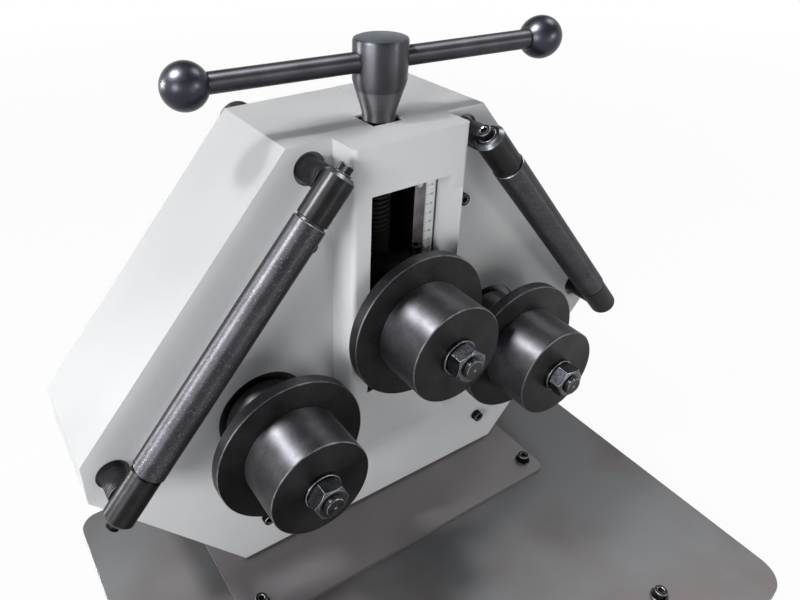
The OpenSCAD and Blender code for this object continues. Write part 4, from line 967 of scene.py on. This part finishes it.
handleSizes = {
    "hubEdge": 2.4 * mm,
    "hubRound": 0.3,  # place of the edge's middle, as a share of the edge
    "neckRadius": 15.35 * mm,
    "coneLow": 486.5 * mm,
    "coneHigh": 516.5 * mm,
    "coneCut": 0.72,  # the fresh cut ends at this share of the cone
    "barRadius": 9 * mm,
    "barTurn": radians(-6.55),
    "ballReach": 172.5 * mm,
    "ballRadius": 20 * mm,
    "ballNeck": 10.8 * mm,
    "ballSteps": 32,
    "boreGap": 0.4 * mm,
    "boreDepth": 1 * mm,
    "hubSteps": 128,
    "barSteps": 96,
}

spindleSizes = {
    "groove": (-0.15 * mm, 8.15 * mm),  # above the carriage's top, like the thread's start
    "grooveRadius": 10 * mm,
    "threadStart": 12 * mm,
    "threadDepth": 2.6 * mm,
    "threadPitch": 5 * mm,
    "threadGap": 1 * mm,  # below the hub
    "threadSteps": 36,
    "journalSteps": 48,
    "steps": 72,
}


def makeHub(axis, upright):
    sizes = handleSizes
    low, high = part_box("handle_hub")
    black = turnedMetal("handleBlackOxide", hubLook, axis)
    topFaceReflection = turnedMetal("hubTopPaintedReflection", hubTopReflectionLook, axis)
    bareCone = turnedMetal("bareCone", coneLook, axis)
    radius, neck = (high.x - low.x) / 2, sizes["neckRadius"]
    edge, share = sizes["hubEdge"], sizes["coneCut"]
    inner = edge * sizes["hubRound"]
    cutHeight = sizes["coneLow"] + (sizes["coneHigh"] - sizes["coneLow"]) * share
    cutRadius = neck + (radius - neck) * share
    bm = bmesh.new()
    # the top face takes the second material, its painted reflection
    addShape(bm, turnedShape([
        (0, cutHeight), (cutRadius, cutHeight), (radius, sizes["coneHigh"]),
        (radius, high.z - edge), (radius - inner, high.z - inner), (radius - edge, high.z),
        (0, high.z)], sizes["hubSteps"]), upright, False, 1)
    finishPiece("hub_turned", bm, [black, topFaceReflection], "spindle",
                ["handle_hub"])
    bm = bmesh.new()
    addShape(bm, turnedShape([
        (0, low.z), (neck, low.z), (neck, sizes["coneLow"]), (cutRadius, cutHeight),
        (0, cutHeight)], sizes["hubSteps"]), upright, False)
    finishPiece("hub_cone_turned", bm, [bareCone], "spindle",
                ["handle_hub"])


def makeBar(axis):
    sizes = handleSizes
    centre = (axis.x, axis.y, middle("tommy_bar").z)
    turn = (0, pi / 2, sizes["barTurn"])
    along = (Matrix.Translation(centre) @ Matrix.Rotation(sizes["barTurn"], 4, "Z")
             @ Matrix.Rotation(pi / 2, 4, "Y"))
    reach, radius, neck = sizes["ballReach"], sizes["ballRadius"], sizes["ballNeck"]
    bm = bmesh.new()
    addShape(bm, rodShape(sizes["barRadius"], -reach, reach, sizes["barSteps"]), along, False)
    finishPiece("bar_turned", bm, [turnedMetal("barBlackOxide", barLook, centre, turn)],
                "spindle", ["tommy_bar"])

    arcEnd = pi - atan2(neck, (radius ** 2 - neck ** 2) ** 0.5)
    angles = [arcEnd * i / sizes["ballSteps"] for i in range(sizes["ballSteps"] + 1)]
    arc = [(radius * sin(angle), radius * cos(angle)) for angle in angles]
    flat, bore = arc[-1][1], sizes["barRadius"] + sizes["boreGap"]
    arc += [(bore, flat), (bore, flat + sizes["boreDepth"]), (0, flat + sizes["boreDepth"])]
    bm = bmesh.new()
    for flip in (pi, 0):
        addShape(bm, turnedShape(arc, sizes["barSteps"]), along
                 @ Matrix.Rotation(flip, 4, "Y") @ Matrix.Translation((0, 0, reach)), False)
    finishPiece("balls_turned", bm, [turnedMetal("ballBlackOxide", ballLook, centre, turn)],
                "spindle", ["handle_balls"])


def makeSpindle(upright):
    sizes = spindleSizes
    low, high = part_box("spindle")
    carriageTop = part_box("carriage")[1].z
    radius, groove = (high.x - low.x) / 2, sizes["grooveRadius"]
    grooveLow, grooveHigh = (carriageTop + height for height in sizes["groove"])
    threadLow = carriageTop + sizes["threadStart"]
    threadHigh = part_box("handle_hub")[0].z - sizes["threadGap"]
    bm = bmesh.new()
    addShape(bm, turnedShape([
        (0, low.z), (radius, low.z), (radius, grooveLow), (groove, grooveLow),
        (groove, grooveHigh), (radius, grooveHigh), (radius, threadLow), (0, threadLow)],
        sizes["steps"]), upright, False)
    addShape(bm, threadShape(radius, sizes["threadDepth"], sizes["threadPitch"],
                             threadLow, threadHigh, sizes["threadSteps"]), upright, False)
    addShape(bm, rodShape(groove, threadHigh, high.z, sizes["journalSteps"]), upright, False)
    finishPiece("spindle_threaded", bm, [spindleSteel], "spindle", ["spindle"])


def makeHandle():
    spindle = middle("spindle")
    axis = Vector((spindle.x, spindle.y, 0))
    upright = Matrix.Translation(axis)
    makeHub(axis, upright)
    makeBar(axis)
    makeSpindle(upright)


makeHandle()
print("handle made")


# Scale: marks and plain numbers printed on the white strip

scaleSizes = {
    "step": 2,  # millimetres from mark to mark
    "longStep": 10,
    "longMark": 5.0 * mm,
    "shortMark": 2.4 * mm,
    "markWidth": 0.35 * mm,
    "markStart": 0.6 * mm,
    "ink": 0.03 * mm,
    "numberHeight": 3.4 * mm,
    "numberPlace": 8.6 * mm,
    "margin": 3 * mm,
}


def makeMarks(low, top, face, count):
    sizes = scaleSizes
    bm = bmesh.new()
    for index in range(0, count + 1, sizes["step"]):
        length = sizes["shortMark"] if index % sizes["longStep"] else sizes["longMark"]
        mark = bmesh.ops.create_cube(bm, size=1)["verts"]
        bmesh.ops.scale(bm, vec=(length, sizes["ink"], sizes["markWidth"]), verts=mark)
        bmesh.ops.translate(bm, verts=mark, vec=(
            low.x + sizes["markStart"] + length / 2, face - sizes["ink"] / 2, top - index * mm))
    bm.normal_update()
    finishPiece("scale_marks", bm, [scaleInk], "frame")


def makeNumber(number, place):
    sizes = scaleSizes
    curve = bpy.data.curves.new(f"scaleNumber{number}", "FONT")
    curve.body = str(number)
    curve.size = sizes["numberHeight"]
    curve.align_x = "CENTER"
    curve.align_y = "CENTER"
    text = bpy.data.objects.new(f"scaleText{number}", curve)
    bpy.context.scene.collection.objects.link(text)
    bpy.context.view_layer.update()
    evaluated = text.evaluated_get(bpy.context.evaluated_depsgraph_get())
    mesh = bpy.data.meshes.new_from_object(evaluated)
    bpy.data.objects.remove(text)
    bm = bmesh.new()
    bm.from_mesh(mesh)
    bmesh.ops.translate(bm, vec=(0, 0, sizes["ink"]), verts=bm.verts)
    bmesh.ops.solidify(bm, geom=bm.faces[:], thickness=sizes["ink"])
    bmesh.ops.recalc_face_normals(bm, faces=bm.faces)
    bmesh.ops.transform(bm, matrix=facingFront(*place), verts=bm.verts)
    finishPiece(f"scale_number_{number}", bm, [scaleInk], "frame")


def makeScale():
    sizes = scaleSizes
    low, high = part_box("scale_strip")
    top, face = high.z - sizes["margin"], low.y
    count = int((high.z - low.z - 2 * sizes["margin"]) / mm)
    makeMarks(low, top, face, count)
    for number in range(0, count + 1, sizes["longStep"]):
        makeNumber(number, (low.x + sizes["numberPlace"], face - sizes["ink"],
                            top - number * mm))


makeScale()
print("scale printed")


# Floor, background and lamps

studio = {
    "floorSize": 30.0,
    "floorDrop": 0.4 * mm,
    "floorColour": "#F2F2F2",
    "floorRoughness": 0.9,
    "floorGlow": 0.93,
    "floorFade": (1.2, 3.0),  # metres from the object, over which the floor turns plain white
    "ambient": 0.15,
    "ceiling": 0.12,  # how bright the dark ceiling looks
    "ceilingEdge": (0.18, 0.62),  # sine of the height, from the backdrop's end to the ceiling
    "lampTarget": (0, 0, 0.3),
}

# place, size, power, whether it lights dull surfaces
lamps = {
    "key": ((-1.44, 0.31, 2.52), 0.28, 15.0, True),
    "keyGlint": ((-1.44, 0.31, 2.52), 0.30, 330.0, False),
    "backGlint": ((-1.9, 1.6, 0.6), 0.5, 65.0, False),
    "edgeGlint": ((0.89, -1.45, 0.82), 0.1, 8.0, False),
    "leftPanel": ((-2.3, -1.04, 0.92), 1.0, 43.0, True),
    "frontPanel": ((0.6, -2.6, 0.4), 0.9, 7.0, True),
    "rightPanel": ((1.6, 0, 2.3), 1.0, 26.0, True),
}


def brightForSight(tree, strength):
    # eyes, mirrors and glass see the backdrop white, and it doesn't add light to the object
    rays = addNode(tree, "ShaderNodeLightPath").outputs
    seen = rays["Is Camera Ray"]
    for ray in ("Is Glossy Ray", "Is Transmission Ray"):
        seen = calc(tree, "MAXIMUM", seen, rays[ray])
    return calc(tree, "MULTIPLY", seen, strength)


def mixShaders(tree, factor, first, second, target):
    mix = addNode(tree, "ShaderNodeMixShader", inputs={0: factor, 1: first, 2: second})
    tree.links.new(mix.outputs["Shader"], tree.nodes[target].inputs["Surface"])


def makeFloor():
    bm = bmesh.new()
    bmesh.ops.create_grid(bm, x_segments=1, y_segments=1, size=studio["floorSize"] / 2)
    bmesh.ops.translate(bm, vec=(0, 0, -studio["floorDrop"]), verts=bm.verts)
    mesh = bpy.data.meshes.new("floor")
    bm.to_mesh(mesh)
    bm.free()
    material, tree, shader = startMaterial("palePaperFloor", 0)
    shader.inputs["Base Color"].default_value = toLinear(studio["floorColour"])
    shader.inputs["Roughness"].default_value = studio["floorRoughness"]
    place = addNode(tree, "ShaderNodeTexCoord").outputs["Object"]
    away = addNode(tree, "ShaderNodeVectorMath", {"operation": "LENGTH"}, {0: place})
    share = spread(tree, away.outputs["Value"], studio["floorGlow"], 1.0, *studio["floorFade"])
    glow = addNode(tree, "ShaderNodeEmission", inputs={"Color": (1, 1, 1, 1), "Strength": 1.0})
    mixShaders(tree, brightForSight(tree, share), shader.outputs["BSDF"],
               glow.outputs["Emission"], "Material Output")
    mesh.materials.append(material)
    floor = bpy.data.objects.new("floor", mesh)
    bpy.context.scene.collection.objects.link(floor)


def makeWorld():
    world = bpy.data.worlds.new("studio")
    world.use_nodes = True
    tree = world.node_tree
    ambient = tree.nodes["Background"]
    ambient.inputs["Color"].default_value = (1, 1, 1, 1)
    ambient.inputs["Strength"].default_value = studio["ambient"]
    way = addNode(tree, "ShaderNodeTexCoord").outputs["Generated"]
    height = addNode(tree, "ShaderNodeSeparateXYZ", inputs={"Vector": way}).outputs["Z"]
    backdrop = spread(tree, height, 1.0, studio["ceiling"], *studio["ceilingEdge"])
    seen = addNode(tree, "ShaderNodeBackground", inputs={
        "Color": (1, 1, 1, 1), "Strength": backdrop})
    mixShaders(tree, brightForSight(tree, 1.0), ambient.outputs["Background"],
               seen.outputs["Background"], "World Output")
    bpy.context.scene.world = world


def makeLamp(name, place, size, power, lightsDull):
    data = bpy.data.lights.new(name, "AREA")
    data.shape = "DISK"
    data.size = size
    data.energy = power
    lamp = bpy.data.objects.new(name, data)
    lamp.location = place
    way = Vector(studio["lampTarget"]) - Vector(place)
    lamp.rotation_euler = way.to_track_quat("-Z", "Y").to_euler()
    lamp.visible_camera = False
    lamp.visible_diffuse = lightsDull
    bpy.context.scene.collection.objects.link(lamp)


makeFloor()
makeWorld()
for lampName, lampSettings in lamps.items():
    makeLamp(lampName, *lampSettings)
bpy.context.scene.view_settings.view_transform = "Standard"
print("studio lit")
